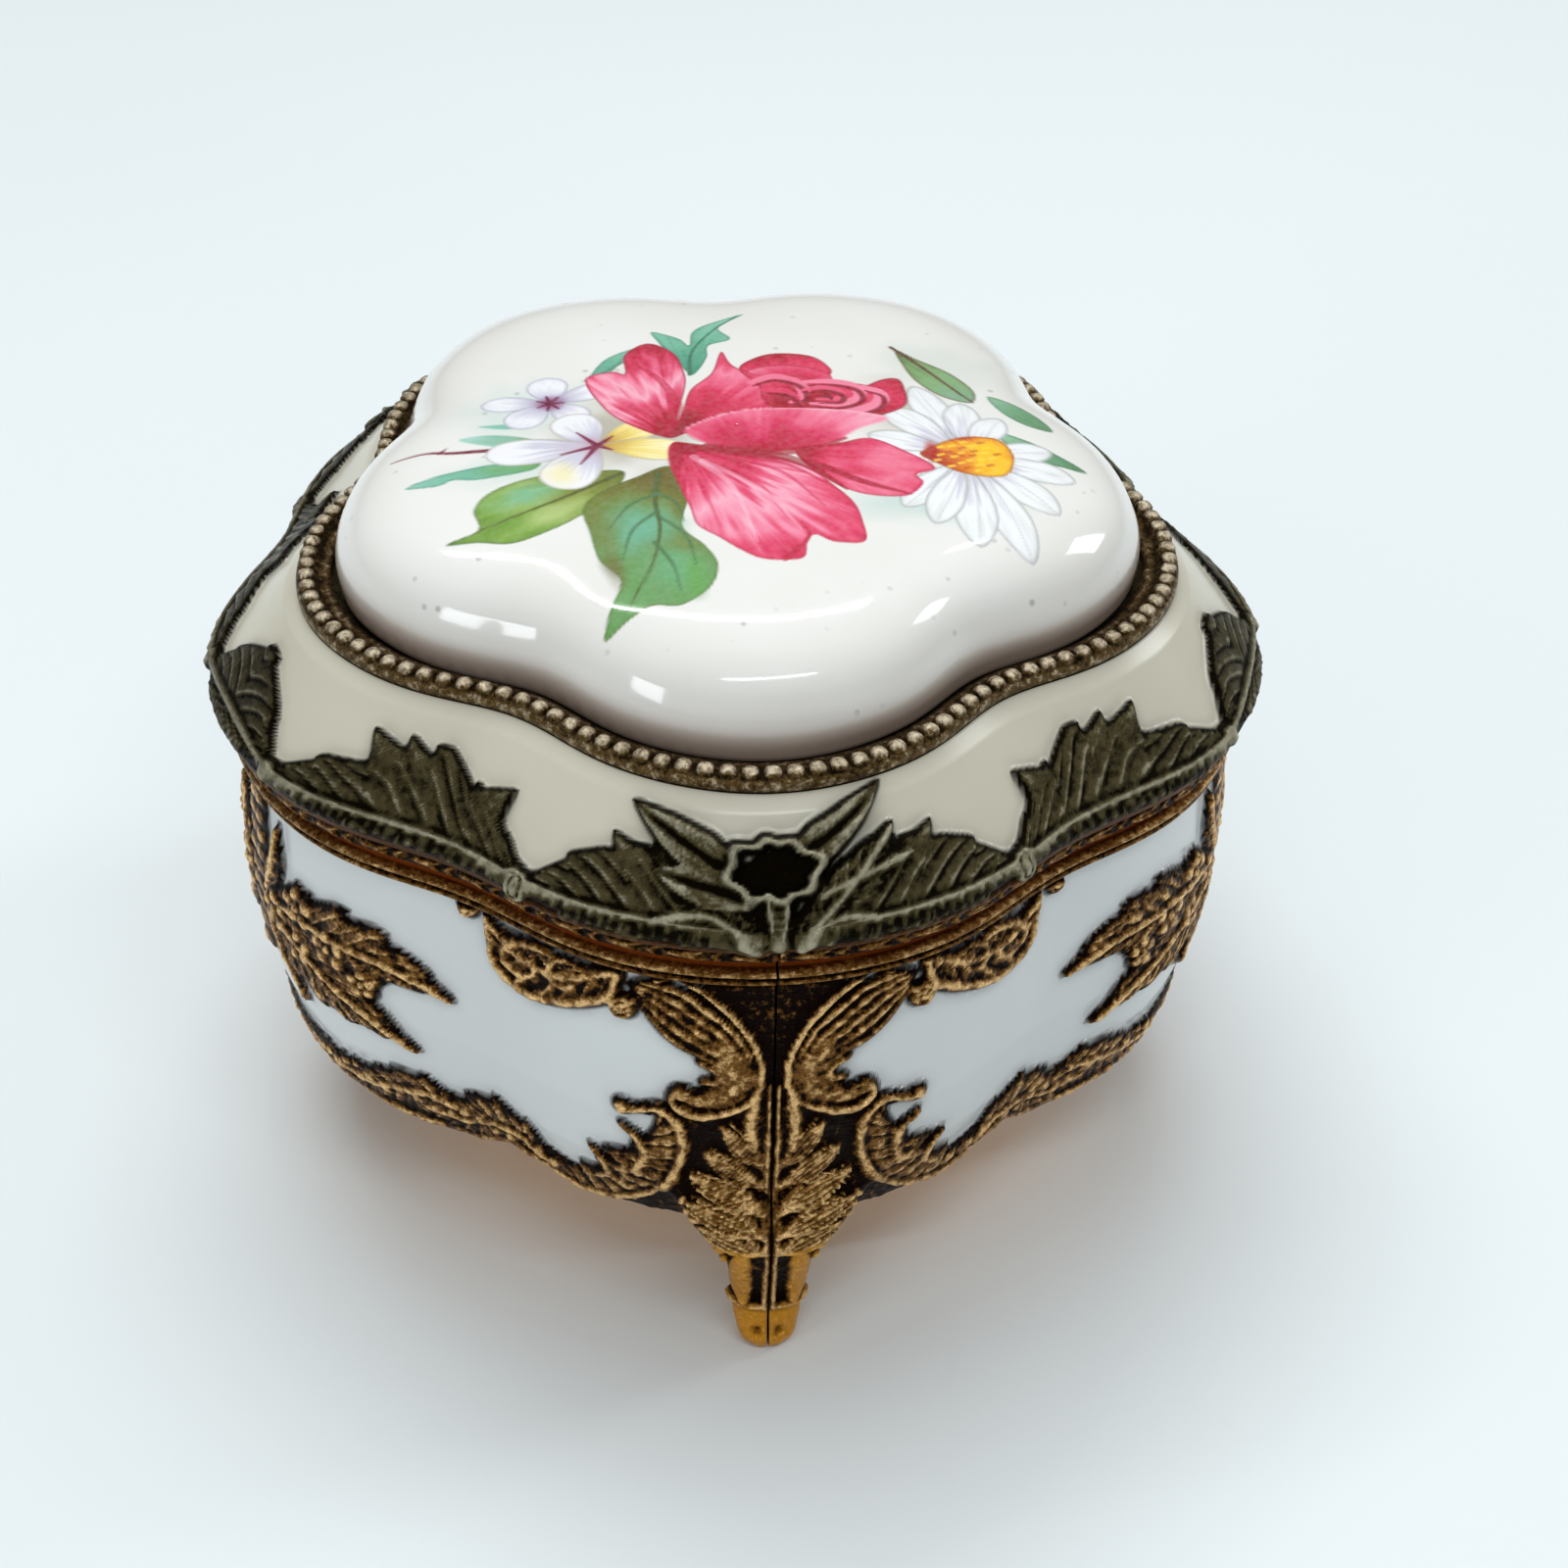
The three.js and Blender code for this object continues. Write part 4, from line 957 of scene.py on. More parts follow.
def bloom(p):
    """The rolled heart of the rose."""
    p.petal([(1.4, 13.8), (3.4, 16.6), (6.4, 17.8), (10.6, 16.8), (12.6, 13.4), (12.4, 10.8),
        (16.2, 9.4), (18.4, 8.2), (18.0, 5.0), (15.8, 2.8), (10.4, 2.0), (5.4, 3.2), (3.6, 6.0),
        (3.4, 9.4)], (8, 5.6), [DARK, CRIMSON, ROSE, (222, 66, 98), ROSE, CRIMSON], seed=90,
        edge=(150, 10, 40))
    p.petal([(2.2, 13.2), (5.4, 14.6), (9.2, 14.2), (12.2, 12.2), (12.0, 9.8), (8.6, 11.4),
        (4.6, 11.6)], (7.6, 9), [CRIMSON, ROSE, (240, 122, 148)], seed=91, edge=(166, 16, 46))
    for points, tone, width in (
            ([(2.6, 10.4), (5.4, 11.6), (8.2, 9.8), (8.6, 7.0), (7.0, 5.2)], (238, 116, 144), 0.9),
            ([(9.2, 10.2), (12.4, 10.2), (15.0, 8.8), (15.2, 6.2), (12.6, 4.6), (9.4, 4.8)],
             (240, 128, 154), 0.8),
            ([(8.8, 8.2), (11.0, 8.8), (13.0, 7.6), (12.6, 6.0), (10.2, 5.8)], (226, 84, 116), 0.6),
            ([(16.0, 8.8), (17.8, 7.4), (17.4, 4.8), (14.8, 3.0), (11.4, 2.6)], (240, 132, 158), 1.0),
            ([(4.0, 8.4), (6.6, 7.6), (8.0, 4.6)], (220, 60, 96), 0.8),
            ([(10.2, 7.6), (11.4, 7.4), (11.6, 6.6)], (150, 8, 36), 0.45)):
        p.line(points, [width * 0.5, width, width, width * 0.4], tone)
        shadow = [(a + 0.25, b - 0.95) for a, b in points]
        p.line(shadow, [0.15, 0.38, 0.38, 0.12], (128, 4, 32), 0.85)


# ---- walls and legs ----------------------------------------------------------------------------

BASE_LINE = [(0, 18.0), (7, 18.0), (12, 18.6), (20, 18.6), (25, 19.2), (30.4, 20.0), (33.1, 20.9),
             (37.8, 18.4), (42.5, 18.1), (49.4, 17.6), (52.6, 18.1), (61, 18.4), (66, 18.2), (72, 18.6)]
WALL_SIDE = [(17.4, 54.4), (21.5, 55.7), (27, 57.4), (35, 58.4), (46, 58.4), (55, 57.9),
    (56.4, 57.9), (57.9, 58.3), (59.4, 58.7), (60.1, 58.3), (60.9, 58.9), (61.3, 60.4),
    (62.6, 60.4), (62.9, 59.9)]
WALL_TOP, WALL_TURN, WALL_FOOT = 62.9, 24.0, 18
WALL_STEP = 0.34
MM_PER_DEGREE = 1.02


def wall_radius(z):
    """Mean radius of the wall's face, with two round fillets under the rim."""
    heights, radii = np.array(WALL_SIDE).T
    r = np.interp(z, heights, radii)
    for middle, half, proud in ((57.35, 0.5, 1.3), (58.65, 0.55, 1.35)):
        r = r + proud * np.sqrt(np.maximum(0, 1 - ((z - middle) / half) ** 2))
    return r


def wall_grid(start, end):
    """Outer face of one wall casting, with its finish, from heading start to end in degrees."""
    margin = math.degrees(SEAM / RIM_R)
    columns = int((end - start) * MM_PER_DEGREE / WALL_STEP)
    t = np.radians(np.linspace(start + margin, end - margin, columns))
    low = np.interp(degrees_to(t, LEGS), *np.array(BASE_LINE).T)
    levels = np.concatenate([np.arange(WALL_FOOT, 56, WALL_STEP), np.arange(56, WALL_TOP, 0.2),
                             [WALL_TOP]])
    z = np.broadcast_to(levels[:, None], (len(levels), columns))
    stretched = low + (z - WALL_FOOT) * (WALL_TURN - low) / (WALL_TURN - WALL_FOOT)
    z = np.where(z < WALL_TURN, stretched, z)
    headings = np.broadcast_to(t[None, :], z.shape)
    flat = place(wall_plan(wall_radius(z), headings), headings, z)
    height = chased(wall_relief(headings, z), headings * RIM_R, z, 0.13)
    height = height * (1 - ease(z, 55.9, 56.7))
    marks = np.sin(headings * 115 + 1.8 * np.sin(headings * 57) + 2.0 * np.cos((z - 62) * 3.4))
    height = height + 0.30 * np.maximum(0, marks) * ease(z, 61.3, 61.6) * (1 - ease(z, 62.5, 62.8))
    height *= 1 - boss_weight(flat)
    points = hinge_boss(flat + outward_normals(flat, False) * height[..., None])
    masks = finish_and_shade_masks(height, False)
    masks["gilt"] = np.maximum(masks["gilt"], ease(z, 56.2, 56.6))
    # On the rim band the proud fillets and raised marks are painted brighter: rubbed gilding and painted
    # highlight.
    band = 0.12 + 0.55 * ease(wall_radius(z), 58.9, 59.7) + 0.4 * height
    band = np.where(z > 61.2, 0.16 + 1.6 * height, band)
    masks["wear"] = np.where(z > 56.6, np.clip(band, 0.05, 0.9), masks["wear"])
    masks["cove"] = ease(z, 59.0, 59.5) * (1 - ease(z, 60.9, 61.3))
    return t, z, points, masks


def boss_weight(points):
    """How far each point belongs to the flat seat of the hinge, from 0 to 1."""
    x, z = np.abs(points[..., 0]), points[..., 2]
    return (points[..., 1] > 0) * (1 - ease(x, 12.9, 13.6)) * ease(z, 51.2, 52.2)


def hinge_boss(points):
    """Flattens the back wall where the hinge is seated."""
    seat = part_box("hinge_leaf_body")[0].y / MM - 0.3
    weight = boss_weight(points)
    points[..., 1] += weight * (seat - points[..., 1])
    return points


def wall_casting(name, start, end, material):
    """One wall casting with its inner face, its two ends and its half legs."""
    t, z, points, masks = wall_grid(start, end)
    inner = np.array([(58.6, 62.95), (56.4, 62.9), (56, 62.4), (56, 50), (56, 35), (54.6, 27), (52.9, 22)])
    back_r = wall_plan(inner[:, 0][:, None], t[None, :])
    back = place(back_r, t[None, :], inner[:, 1][:, None])
    low = z[0]
    foot = place(wall_plan(wall_radius(low) - 2.3, t), t, low)[None]
    ring = np.concatenate([points, back, foot])
    rows, columns = ring.shape[:2]
    extra = np.zeros((rows - len(z), columns))
    values = {key: np.concatenate([field, extra + 0.4]) for key, field in masks.items()}
    values["gilt"][len(z):] = 1
    values["halo"][len(z):] = values["cove"][len(z):] = 0
    shape = Shape("gilt", "wear", "halo", "cove")
    shape.add(ring, grid_faces(rows, columns, True, False), **values)
    for column in (0, columns - 1):
        shape.add(ring[:, column], np.arange(rows)[None, :], gilt=1.0, wear=0.15)
    for leg in LEGS:
        for hand, edge in ((1, start), (-1, end)):
            if (edge - leg) % 360 == 0:
                half_leg(shape, leg, hand)
    node = name.replace("cast_wall", "body_panel")
    return shape.build(name, material, "box", [node])


LEG_WIDTH = [(0, 1.8), (0.6, 2.6), (1.2, 3.05), (2.4, 3.5), (4.5, 4.0), (7, 4.2), (10, 4.4),
    (12.5, 4.75), (15, 5.35), (17.5, 6.2), (20, 7.9), (22, 9.6), (24, 11.2), (27, 12.6), (30, 12.8)]
LEG_FRONT = [(0, 60.1), (0.8, 60.8), (2, 61.0), (4, 60.6), (7, 60.2), (9, 60.2), (12, 60.8),
    (15, 61.5), (18, 61.8), (20, 61.6), (22, 61.1), (24, 60.4), (26, 59.7), (28, 59.0), (30, 58.0)]
LEG_DEPTH = [(0, 4.4), (4, 5), (9, 5), (14, 5.6), (19, 5.8), (24, 4.6), (27, 3.4), (30, 2.0)]


def half_leg(shape, leg, hand):
    """One half of a leg, on one side of its seam: a D in plan, with its ornament in front."""
    z = np.concatenate([[0, 0.25], np.arange(0.6, 30.1, 0.3)])[:, None]
    front = np.linspace(0.5 * math.pi, -0.18 * math.pi, 44)
    rear = np.linspace(-0.24 * math.pi, -0.5 * math.pi, 9)
    angle = np.concatenate([front, rear])[None, :]
    tables = (LEG_WIDTH, LEG_FRONT, LEG_DEPTH)
    width, reach, depth = (np.interp(z, *np.array(table).T) for table in tables)
    tuck = 1 - 0.10 * np.exp(-(z / 0.35) ** 2)
    square = 2 / 2.3
    u = SEAM + (width * tuck - SEAM) * np.abs(np.cos(angle)) ** square
    side = np.sign(np.sin(angle)) * np.abs(np.sin(angle)) ** square
    r = reach - depth / 2 + depth / 2 * side * tuck
    relief = Relief(*np.broadcast_arrays(u, z))
    leg_motif(relief)
    height = relief.field() * ease(side, -0.35, 0.05) * ease(z, 1.0, 7.4)
    dimple = np.exp(-(((u - 1.35) / 0.55) ** 2 + ((z - 3.0) / 0.6) ** 2))
    toes = 0.5 * np.abs(np.sin(u * 1.6)) * np.exp(-((z - 1.4) / 1.5) ** 2)
    height = height - (0.8 * dimple - 0.3 * toes) * (side > 0)
    normal_u, normal_r = np.abs(np.cos(angle)), np.sin(angle)
    push = height * 0.85
    u, r = u + push * normal_u * (angle < 0.5 * math.pi - 0.05), r + push * normal_r
    seam_u = np.full((len(z), 4), SEAM)
    seam_r = r[:, -1:] + (r[:, :1] - r[:, -1:]) * np.array([[0.2, 0.4, 0.6, 0.8]])
    u, r = np.concatenate([u, seam_u], 1), np.concatenate([r, seam_r], 1)
    z = np.broadcast_to(z, u.shape)
    c, s = math.cos(math.radians(leg)), math.sin(math.radians(leg))
    points = np.stack([hand * u * c + r * s, CENTRE_Y + hand * u * s - r * c, z], -1)
    # Brighter on the raised ornament and darker in its hollows and in the hoof's dimple: rubbed gilding and
    # patina, with painted highlight and painted shade.
    wear = np.clip(0.16 + 0.36 * height + 1.3 * (height - blur(height, 2)), 0, 1)
    hoof = 1 - ease(z[:, :wear.shape[1]], 5.6, 6.8)
    wear = np.maximum(wear, 0.62 * hoof) * (1 - 0.85 * dimple * (side > 0))
    wear = np.concatenate([wear, np.full((len(z), 4), 0.12)], 1)
    rows, columns = u.shape
    faces = [grid_faces(rows, columns, False, True), np.arange(columns)[None, :],
             (np.arange(columns) + (rows - 1) * columns)[None, ::-1]]
    lower = z[:, :wear.shape[1] - 4]
    oval = ease(height, 0.6, 0.95) * (lower < 18.2) * (relief.x.reshape(height.shape) > 1.3)
    bright = np.maximum(hoof * (1 - 0.9 * dimple), 0.8 * oval)
    bright = np.concatenate([bright, np.zeros((len(z), 4))], 1)
    shape.add(points, faces, gilt=1.0, wear=wear, halo=0.0, cove=-0.6 * bright)


# ---- lining ------------------------------------------------------------------------------------

FLOOR_PAD_Z, LID_PAD_Z, LINING_Z = (28.5, 32.9), (66.6, 70.3), (28.5, 62.1)

def pad(name, node, body, material, levels, radius, plan, up):
    """A padded disc with a soft crown and a rolled edge; up is the side that shows."""
    t = ring_of(240)
    edge = radius - 1.6
    profile = [(0.02, 1.0), (10, 0.99), (22, 0.95), (34, 0.86), (edge - 4, 0.70), (edge, 0.50),
               (radius - 0.5, 0.28), (radius, 0.12)]
    r, rise = resample(profile, 1.0)[:2]
    r, rise = np.concatenate([r, [radius - 0.4, 30, 0.02]]), np.concatenate([rise, [0, 0, 0]])
    low, high = levels
    thick = high - low
    level = low + thick * rise if up else high - thick * rise
    points = closed_ring(r, level, t, plan)
    x, y = points[..., 0], points[..., 1]
    dents = noise(x, y, 9.0, 61) * 0.16 + noise(x, y, 3.5, 62) * 0.05
    points[..., 2] += np.where(rise[:, None] > 0.2, dents * (1 if up else -1), 0)
    shape = Shape()
    shape.add(points, grid_faces(len(r), len(t), False, True))
    piece = shape.build(name, material, body, [node])
    return piece


def wall_lining(material):
    """Velvet round the inside of the wall, with a low ridge at its top edge."""
    t = ring_of(420)
    low, high = LINING_Z
    z = np.linspace(low, high, 26)[:, None]
    ripple = noise(np.degrees(t) * 0.9, z, 12.0, 63) * 0.12
    inner = place(wall_plan(52.0, t) + ripple, t, z)
    ridge = place(wall_plan(52.4, t), t, high + 0.35)[None]
    outer = place(wall_plan(52.8, t), t, z[::-1])
    points = np.concatenate([inner, ridge, outer])
    shape = Shape()
    shape.add(points, grid_faces(len(points), len(t), True, True))
    return shape.build("velvet_wall_lining", material, "box", ["wall_liner"])


# ---- materials ---------------------------------------------------------------------------------

class Tree:
    """A short way to write a material's nodes."""

    def __init__(self, name):
        self.material = bpy.data.materials.new(name)
        self.material.use_nodes = True
        self.nodes, self.links = self.material.node_tree.nodes, self.material.node_tree.links
        self.shader = self.nodes["Principled BSDF"]
        self.place = self.nodes.new("ShaderNodeTexCoord").outputs["Object"]

    def set(self, socket, value):
        """Links an output to the socket, or gives it a number or colour."""
        if hasattr(value, "is_output"):
            self.links.new(value, socket)
        elif isinstance(value, tuple) and len(value) == 3 and socket.type == "RGBA":
            socket.default_value = (*value, 1)
        else:
            socket.default_value = value

    def value(self, name):
        """A number kept at each point of the mesh."""
        node = self.nodes.new("ShaderNodeAttribute")
        node.attribute_name = name
        return node.outputs["Fac"]

    def paint(self, name):
        """A colour kept at each point of the mesh, and its cover."""
        node = self.nodes.new("ShaderNodeAttribute")
        node.attribute_name = name
        return node.outputs["Color"], node.outputs["Alpha"]

    def noise(self, scale, detail=3.0, rough=0.55):
        node = self.nodes.new("ShaderNodeTexNoise")
        self.set(node.inputs["Vector"], self.place)
        node.inputs["Scale"].default_value = scale
        node.inputs["Detail"].default_value = detail
        node.inputs["Roughness"].default_value = rough
        return node.outputs["Fac"]

    def cells(self, scale):
        node = self.nodes.new("ShaderNodeTexVoronoi")
        self.set(node.inputs["Vector"], self.place)
        node.inputs["Scale"].default_value = scale
        return node.outputs["Distance"]

    def math(self, kind, *values):
        node = self.nodes.new("ShaderNodeMath")
        node.operation = kind
        for socket, value in zip(node.inputs, values):
            self.set(socket, value)
        return node.outputs[0]

    def span(self, value, low, high, to_low=0.0, to_high=1.0):
        """Maps low to high onto another range, and clamps it there."""
        node = self.nodes.new("ShaderNodeMapRange")
        for socket, given in zip(node.inputs, (value, low, high, to_low, to_high)):
            self.set(socket, given)
        return node.outputs[0]

    def mix(self, factor, a, b):
        node = self.nodes.new("ShaderNodeMix")
        node.data_type = "RGBA"
        for index, value in ((0, factor), (6, a), (7, b)):
            self.set(node.inputs[index], value)
        return node.outputs[2]

    def bump(self, height, strength, distance):
        node = self.nodes.new("ShaderNodeBump")
        node.inputs["Strength"].default_value = strength
        node.inputs["Distance"].default_value = distance
        self.set(node.inputs["Height"], height)
        self.links.new(node.outputs[0], self.shader.inputs["Normal"])

    def finish(self, **inputs):
        """Sets the shader's own sockets, with _ for a space in their names."""
        for name, value in inputs.items():
            self.set(self.shader.inputs[name.replace("_", " ")], value)
        return self.material


def cast_material(name, colours, enamel_rough, metal_rough, speckle=0.38):
    """Enamel with cast metal ornament: dark with patina and painted shade in the hollows, and rubbed bright
    with painted highlight on the heights.
    """
    tree = Tree(name)
    gilt, wear, halo, cove = (tree.value(key) for key in ("gilt", "wear", "halo", "cove"))
    fine, broad = tree.noise(1200, 4.0, 0.7), tree.noise(260, 3.0)
    mottle = tree.math("ADD", wear, tree.span(fine, 0.3, 0.7, -speckle, speckle))
    mottle = tree.math("ADD", mottle, tree.span(broad, 0.3, 0.7, -0.08, 0.08))
    # The near-black tone is patina and painted shade; the pale tone on the peaks is rubbed metal and
    # painted highlight.
    metal = tree.mix(tree.span(mottle, 0.20, 0.52), colours["deep"], colours["mid"])
    metal = tree.mix(tree.span(mottle, 0.60, 1.10), metal, colours["rubbed_and_highlight"])
    if "cove" in colours:
        metal = tree.mix(tree.math("MULTIPLY", tree.span(cove, 0, 1), 0.8), metal, colours["cove"])
        metal = tree.mix(tree.span(cove, 0, -0.6, 0, 0.8), metal, colours["hoof"])
    enamel = tree.mix(tree.span(tree.noise(40, 2.0), 0.3, 0.7, 0, 0.08), colours["enamel"],
        colours["grime_and_shade"])
    # Grime and painted shade darken the enamel beside the ornament.
    grime_and_shade = tree.math("MULTIPLY", halo, tree.span(broad, 0.25, 0.75, 0.2, 0.7))
    enamel = tree.mix(grime_and_shade, enamel, colours["grime_and_shade"])
    rough = tree.span(wear, 0.2, 0.7, metal_rough + 0.22, metal_rough)
    rough = tree.math("ADD", tree.math("MULTIPLY", rough, gilt),
                      tree.math("MULTIPLY", tree.math("SUBTRACT", 1.0, gilt), enamel_rough))
    tree.bump(tree.math("MULTIPLY", tree.math("ADD", fine, broad), gilt), 0.9, 0.0005)
    return tree.finish(Base_Color=tree.mix(gilt, enamel, metal), Metallic=gilt,
                       Roughness=rough, Coat_Roughness=0.05)


def wall_material():
    # Near-black hollows are patina and painted shade, the pale tone on the heights is rubbed gilding and
    # painted highlight, and the dark enamel tone is grime and painted shade.
    colours = {"enamel": (0.76, 0.79, 0.79), "grime_and_shade": (0.26, 0.24, 0.23), "deep": (0.007, 0.003, 0.002),
               "mid": (0.20, 0.088, 0.018), "rubbed_and_highlight": (1.0, 0.64, 0.28), "cove": (0.30, 0.065, 0.008),
               "hoof": (0.86, 0.38, 0.03)}
    return cast_material("wall enamel on gilded casting", colours, 0.2, 0.26)


def porcelain_material():
    tree = Tree("glazed painted porcelain")
    paint, cover = tree.paint("paint")
    specks = tree.math("MULTIPLY", tree.span(tree.cells(330), 0.16, 0.08), tree.span(tree.noise(90),
        0.5, 0.62))
    clouds = tree.span(tree.noise(45, 2.0), 0.3, 0.7)
    glaze = tree.mix(clouds, (0.80, 0.775, 0.725), (0.84, 0.82, 0.775))
    # Painted shade on the low shoulder of the dome: the glaze is mixed towards a dull brown there.
    glaze = tree.mix(tree.math("MULTIPLY", tree.value("base"), 0.95), glaze, (0.43, 0.32, 0.25))
    glaze = tree.mix(tree.math("MULTIPLY", specks, 0.55), glaze, (0.30, 0.29, 0.28))
    grain = tree.noise(1300, 3.0)
    brushed = tree.mix(tree.span(grain, 0.35, 0.65, 0, 0.05), paint, (0.9, 0.86, 0.82))
    rough = tree.span(tree.noise(220), 0.3, 0.7, 0.07, 0.12)
    tree.bump(tree.noise(60, 1.0), 0.25, 0.0002)
    return tree.finish(Base_Color=tree.mix(cover, glaze, brushed), Roughness=rough, IOR=1.52,
                       Coat_Weight=0.4, Coat_Roughness=0.03)


def velvet_material():
    tree = Tree("deep red velvet")
    pile, nap = tree.noise(2600, 4.0, 0.8), tree.noise(70, 3.0)
    shade = tree.mix(tree.span(nap, 0.3, 0.7), (0.10, 0.006, 0.014), (0.24, 0.016, 0.034))
    shade = tree.mix(tree.span(pile, 0.35, 0.7, 0, 0.55), shade, (0.38, 0.04, 0.07))
    tree.bump(pile, 0.8, 0.0004)
    return tree.finish(Base_Color=shade, Roughness=0.92, Sheen_Weight=0.7, Sheen_Roughness=0.35,
                       Sheen_Tint=(0.9, 0.35, 0.42, 1), Specular_IOR_Level=0.2)


def plain_metal(name, dark, light, rough, scale):
    """Sheet or turned metal with fine scratches and a little tarnish."""
    tree = Tree(name)
    fine, broad = tree.noise(scale, 5.0, 0.7), tree.noise(scale / 9, 3.0)
    tone = tree.mix(tree.span(tree.math("ADD", fine, broad), 0.8, 1.2), dark, light)
    tree.bump(fine, 0.35, 0.0001)
    return tree.finish(Base_Color=tone, Metallic=0.95,
                       Roughness=tree.span(broad, 0.3, 0.7, rough - 0.08, rough + 0.12))


def card_material():
    tree = Tree("grey card")
    fibre = tree.noise(900, 5.0, 0.75)
    tone = tree.mix(tree.span(fibre, 0.3, 0.7), (0.30, 0.22, 0.13), (0.46, 0.36, 0.24))
    tree.bump(fibre, 0.5, 0.00015)
    return tree.finish(Base_Color=tone, Roughness=0.92, Specular_IOR_Level=0.2)


def dress_cad_nodes():
    """Procedural materials for the CAD pieces that stay as they are."""
    finishes = {
        "aged_brass": plain_metal("antique brass sheet", (0.05, 0.04, 0.02), (0.26, 0.21, 0.11), 0.42, 900),
        "gilt": plain_metal("gilded brass sheet", (0.16, 0.07, 0.02), (0.66, 0.37, 0.13), 0.36, 900),
        "steel": plain_metal("zinc-plated steel", (0.26, 0.26, 0.25), (0.56, 0.56, 0.55), 0.38, 1200),
        "card": card_material(),
    }
    kinds = (("hinge_leaf_lid", "aged_brass"), ("hinge_rivet_lid", "aged_brass"),
        ("hinge_leaf_body", "gilt"), ("hinge_rivet_body", "gilt"), ("floor_board", "card"),
        ("lid_liner_board", "card"))
    for name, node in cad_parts.items():
        kind = next((kind for start, kind in kinds if name.startswith(start)), "steel")
        node.data.materials.clear()
        node.data.materials.append(finishes[kind])


# ---- floor, light and camera: lengths in metres ------------------------------------------------

FLOOR_REACH, CLIP_END = 60.0, 200
DAY, SUNSET, OVERHEAD = (0.90, 0.955, 0.985), (1.0, 0.42, 0.07), (-0.1, 0.35, 1.1)
AREA_LIGHTS = (  # name, place, aimed at, size, power, colour, shows in reflections
    ("front fill", (-0.6, -0.9, 0.9), (0, 0, 0.04), (0.9, 0.7), 1.1, DAY, False),
    ("tube behind", (-0.05, 0.36, 0.72), (0, 0, 0.09), (0.62, 0.008), 1.6, DAY, True),
    ("tube in front", (0.06, -0.42, 0.66), (0, 0, 0.09), (0.5, 0.009), 1.2, DAY, True),
    ("right window", (0.85, 0.25, 0.55), (0, 0, 0.06), (0.22, 0.34), 1.6, DAY, True),
    ("left glint", (-0.75, -0.55, 0.30), (0, 0, 0.04), (0.26, 0.20), 1.0, DAY, True),
    ("warm bounce", (0, 0, 0.022), (0, 0, 0), (0.085, 0.085), 0.007, SUNSET, False),
)

def paper_floor():
    tree = Tree("pale paper floor")
    tone = tree.mix(tree.span(tree.noise(3, 2.0), 0.3, 0.7), (0.75, 0.785, 0.785), (0.775, 0.81, 0.81))
    tree.bump(tree.noise(500, 3.0), 0.05, 0.0001)
    floor_material = tree.finish(Base_Color=tone, Roughness=0.6, Specular_IOR_Level=0.25)
    mesh = bpy.data.meshes.new("floor")
    reach = FLOOR_REACH
    corners = [(-reach, -reach, 0), (reach, -reach, 0), (reach, reach, 0), (-reach, reach, 0)]
    mesh.from_pydata(corners, [], [(0, 1, 2, 3)])
    mesh.materials.append(floor_material)
    floor = bpy.data.objects.new("floor", mesh)
    bpy.context.scene.collection.objects.link(floor)


def pale_room():
    """A dim sky, warm below and cool above."""
    world = bpy.data.worlds.new("pale room")
    world.use_nodes = True
    sky = world.node_tree
    background = sky.nodes["Background"]
    direction = sky.nodes.new("ShaderNodeTexCoord").outputs["Generated"]
    split = sky.nodes.new("ShaderNodeSeparateXYZ")
    ramp = sky.nodes.new("ShaderNodeValToRGB")
    sky.links.new(direction, split.inputs[0])
    sky.links.new(split.outputs["Z"], ramp.inputs[0])
    sky.links.new(ramp.outputs[0], background.inputs["Color"])
    stops = ramp.color_ramp.elements
    stops[0].position, stops[0].color = 0.0, (0.22, 0.19, 0.16, 1)
    stops[1].position, stops[1].color = 0.75, (0.95, 0.97, 1.0, 1)
    stops.new(0.30).color = (0.34, 0.31, 0.28, 1)
    background.inputs["Strength"].default_value = 0.43
    bpy.context.scene.world = world


def hang_lamp(light, colour, mirrored, aim):
    """Puts a light in the scene, facing along aim."""
    light.color = colour
    lamp = bpy.data.objects.new(light.name, light)
    lamp.visible_glossy = mirrored
    lamp.rotation_euler = aim.to_track_quat("-Z", "Y").to_euler()
    bpy.context.scene.collection.objects.link(lamp)
    return lamp


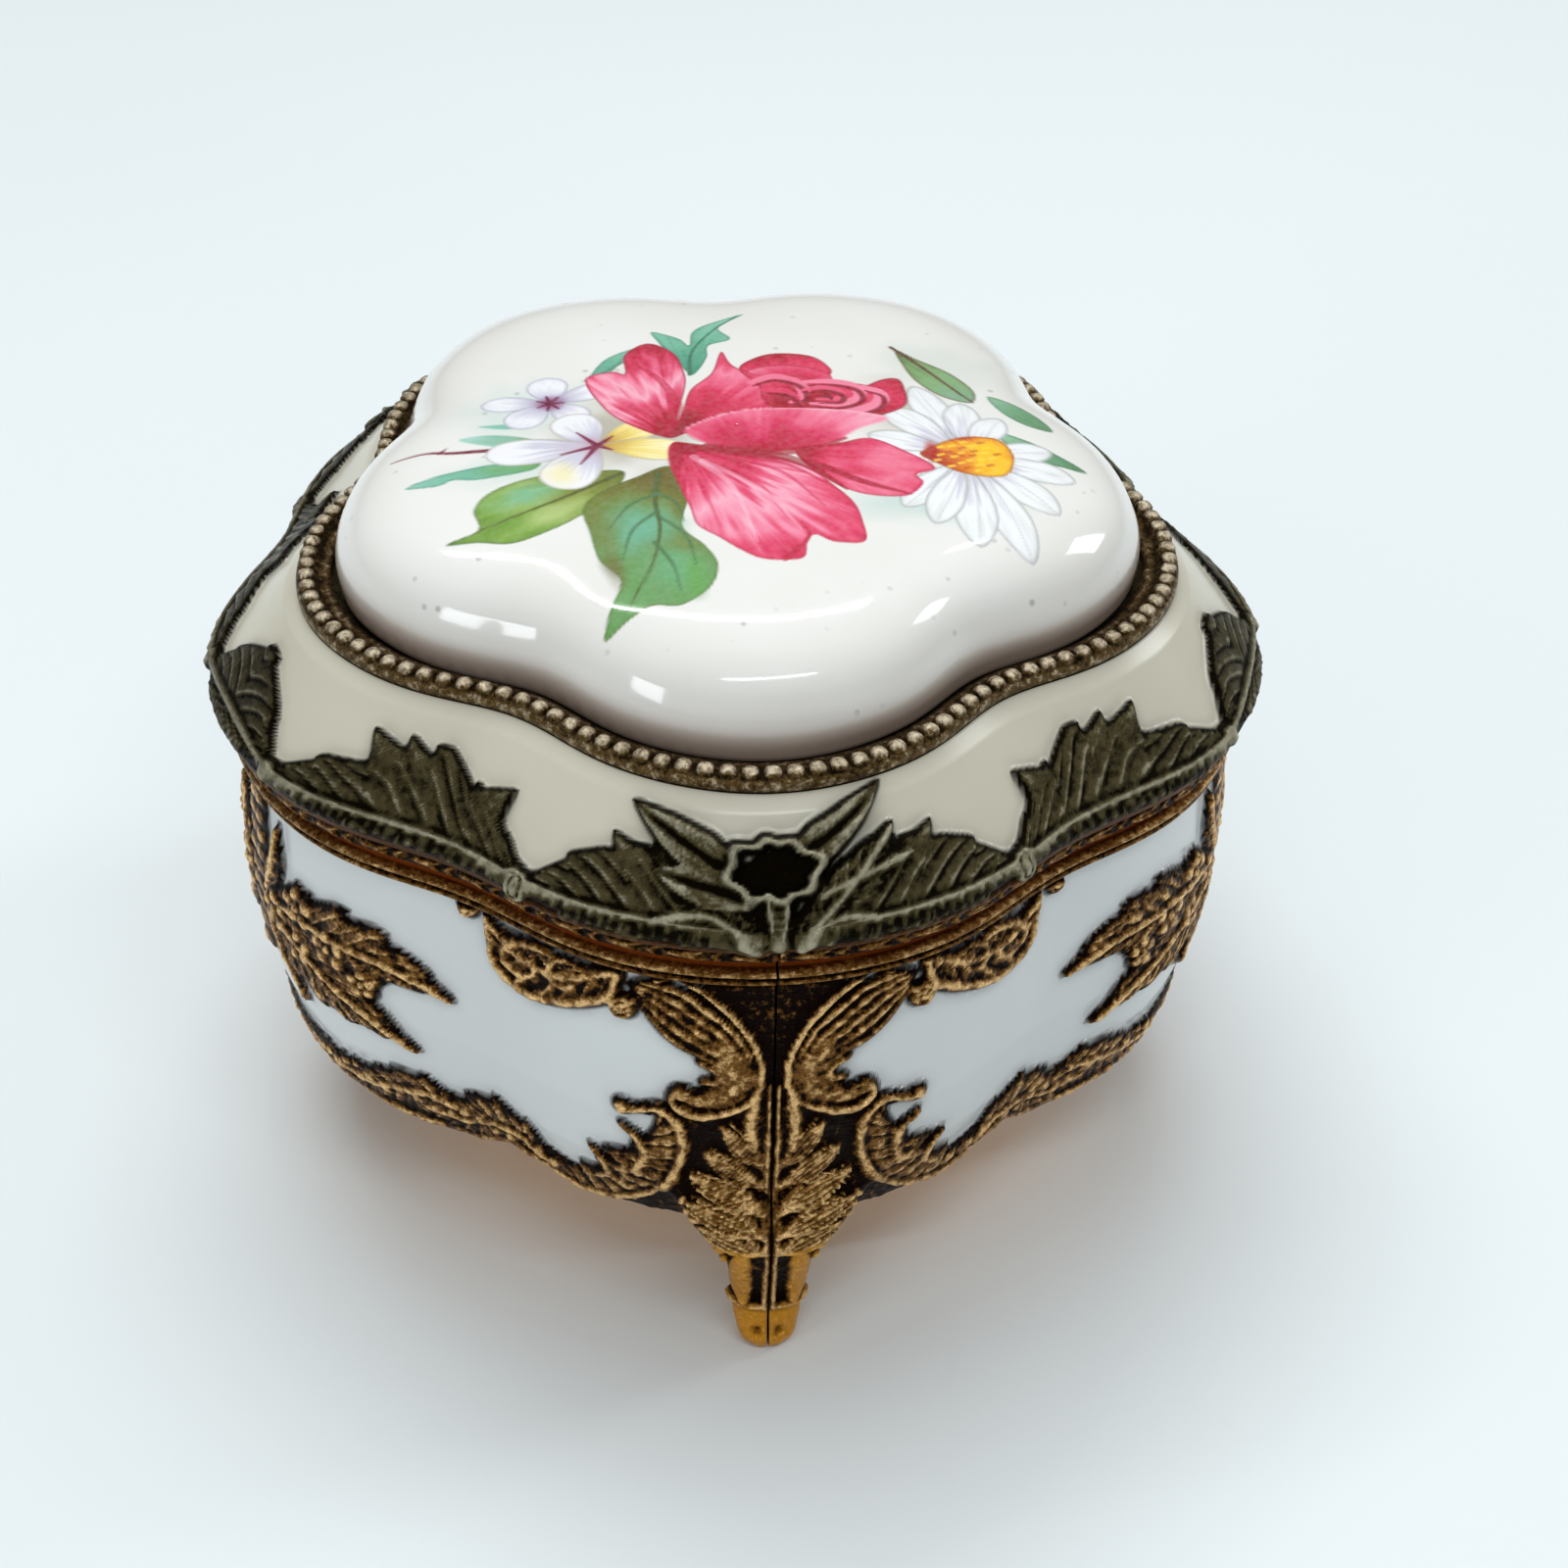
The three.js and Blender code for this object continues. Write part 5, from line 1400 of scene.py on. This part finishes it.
def daylight(strength, source, spread, colour):
    """Soft even light from far away in the direction of source."""
    light = bpy.data.lights.new("daylight", "SUN")
    light.energy, light.angle = strength, spread
    hang_lamp(light, colour, False, -Vector(source))


def area_light(name, at, towards, size, power, colour, mirrored):
    light = bpy.data.lights.new(name, "AREA")
    light.shape = "RECTANGLE"
    light.size, light.size_y = size
    light.energy = power
    hang_lamp(light, colour, mirrored, Vector(towards) - Vector(at)).location = at


def camera():
    """Looks down on the box from in front and a little to the left."""
    turn, tilt, roll = math.radians(6.062), math.radians(36.357), 0.02535
    flat = math.cos(tilt)
    forward = Vector((math.sin(turn) * flat, math.cos(turn) * flat, -math.sin(tilt)))
    level = Vector((math.cos(turn), -math.sin(turn), 0))
    right = math.cos(roll) * level + math.sin(roll) * level.cross(forward)
    up = right.cross(forward)
    lens = bpy.data.cameras.new("camera")
    lens.lens, lens.sensor_width = 68.98, 36.0
    lens.clip_start, lens.clip_end = 0.01, CLIP_END
    eye = bpy.data.objects.new("camera", lens)
    at = Vector((-25.926, CENTRE_Y - 307.251, 77.5 + 188.477)) * MM
    eye.matrix_world = Matrix.Translation(at) @ Matrix((right, up, -forward)).transposed().to_4x4()
    bpy.context.scene.collection.objects.link(eye)
    bpy.context.scene.camera = eye


# ---- the whole box -----------------------------------------------------------------------------

dress_cad_nodes()
lid_casting()
bezel()
porcelain_insert()
casting = wall_material()
for side, start, end in (("right", 0, 144), ("back", 144, 216), ("left", 216, 360)):
    wall_casting("cast_wall_" + side, start, end, casting)
velvet = velvet_material()
pad("velvet_floor_pad", "floor_pad", "box", velvet, FLOOR_PAD_Z, 51.4, wall_plan, True)
pad("velvet_lid_pad", "lid_liner_pad", "lid", velvet, LID_PAD_Z, 48.0, lid_plan, False)
wall_lining(velvet)
paper_floor()
pale_room()
area_light("overhead softbox", OVERHEAD, (0, 0, 0.05), (1.1, 0.8), 2.0, DAY, False)
daylight(0.92, OVERHEAD, math.radians(40), DAY)
for lamp in AREA_LIGHTS:
    area_light(*lamp)
camera()
bpy.context.scene.view_settings.view_transform = "Standard"
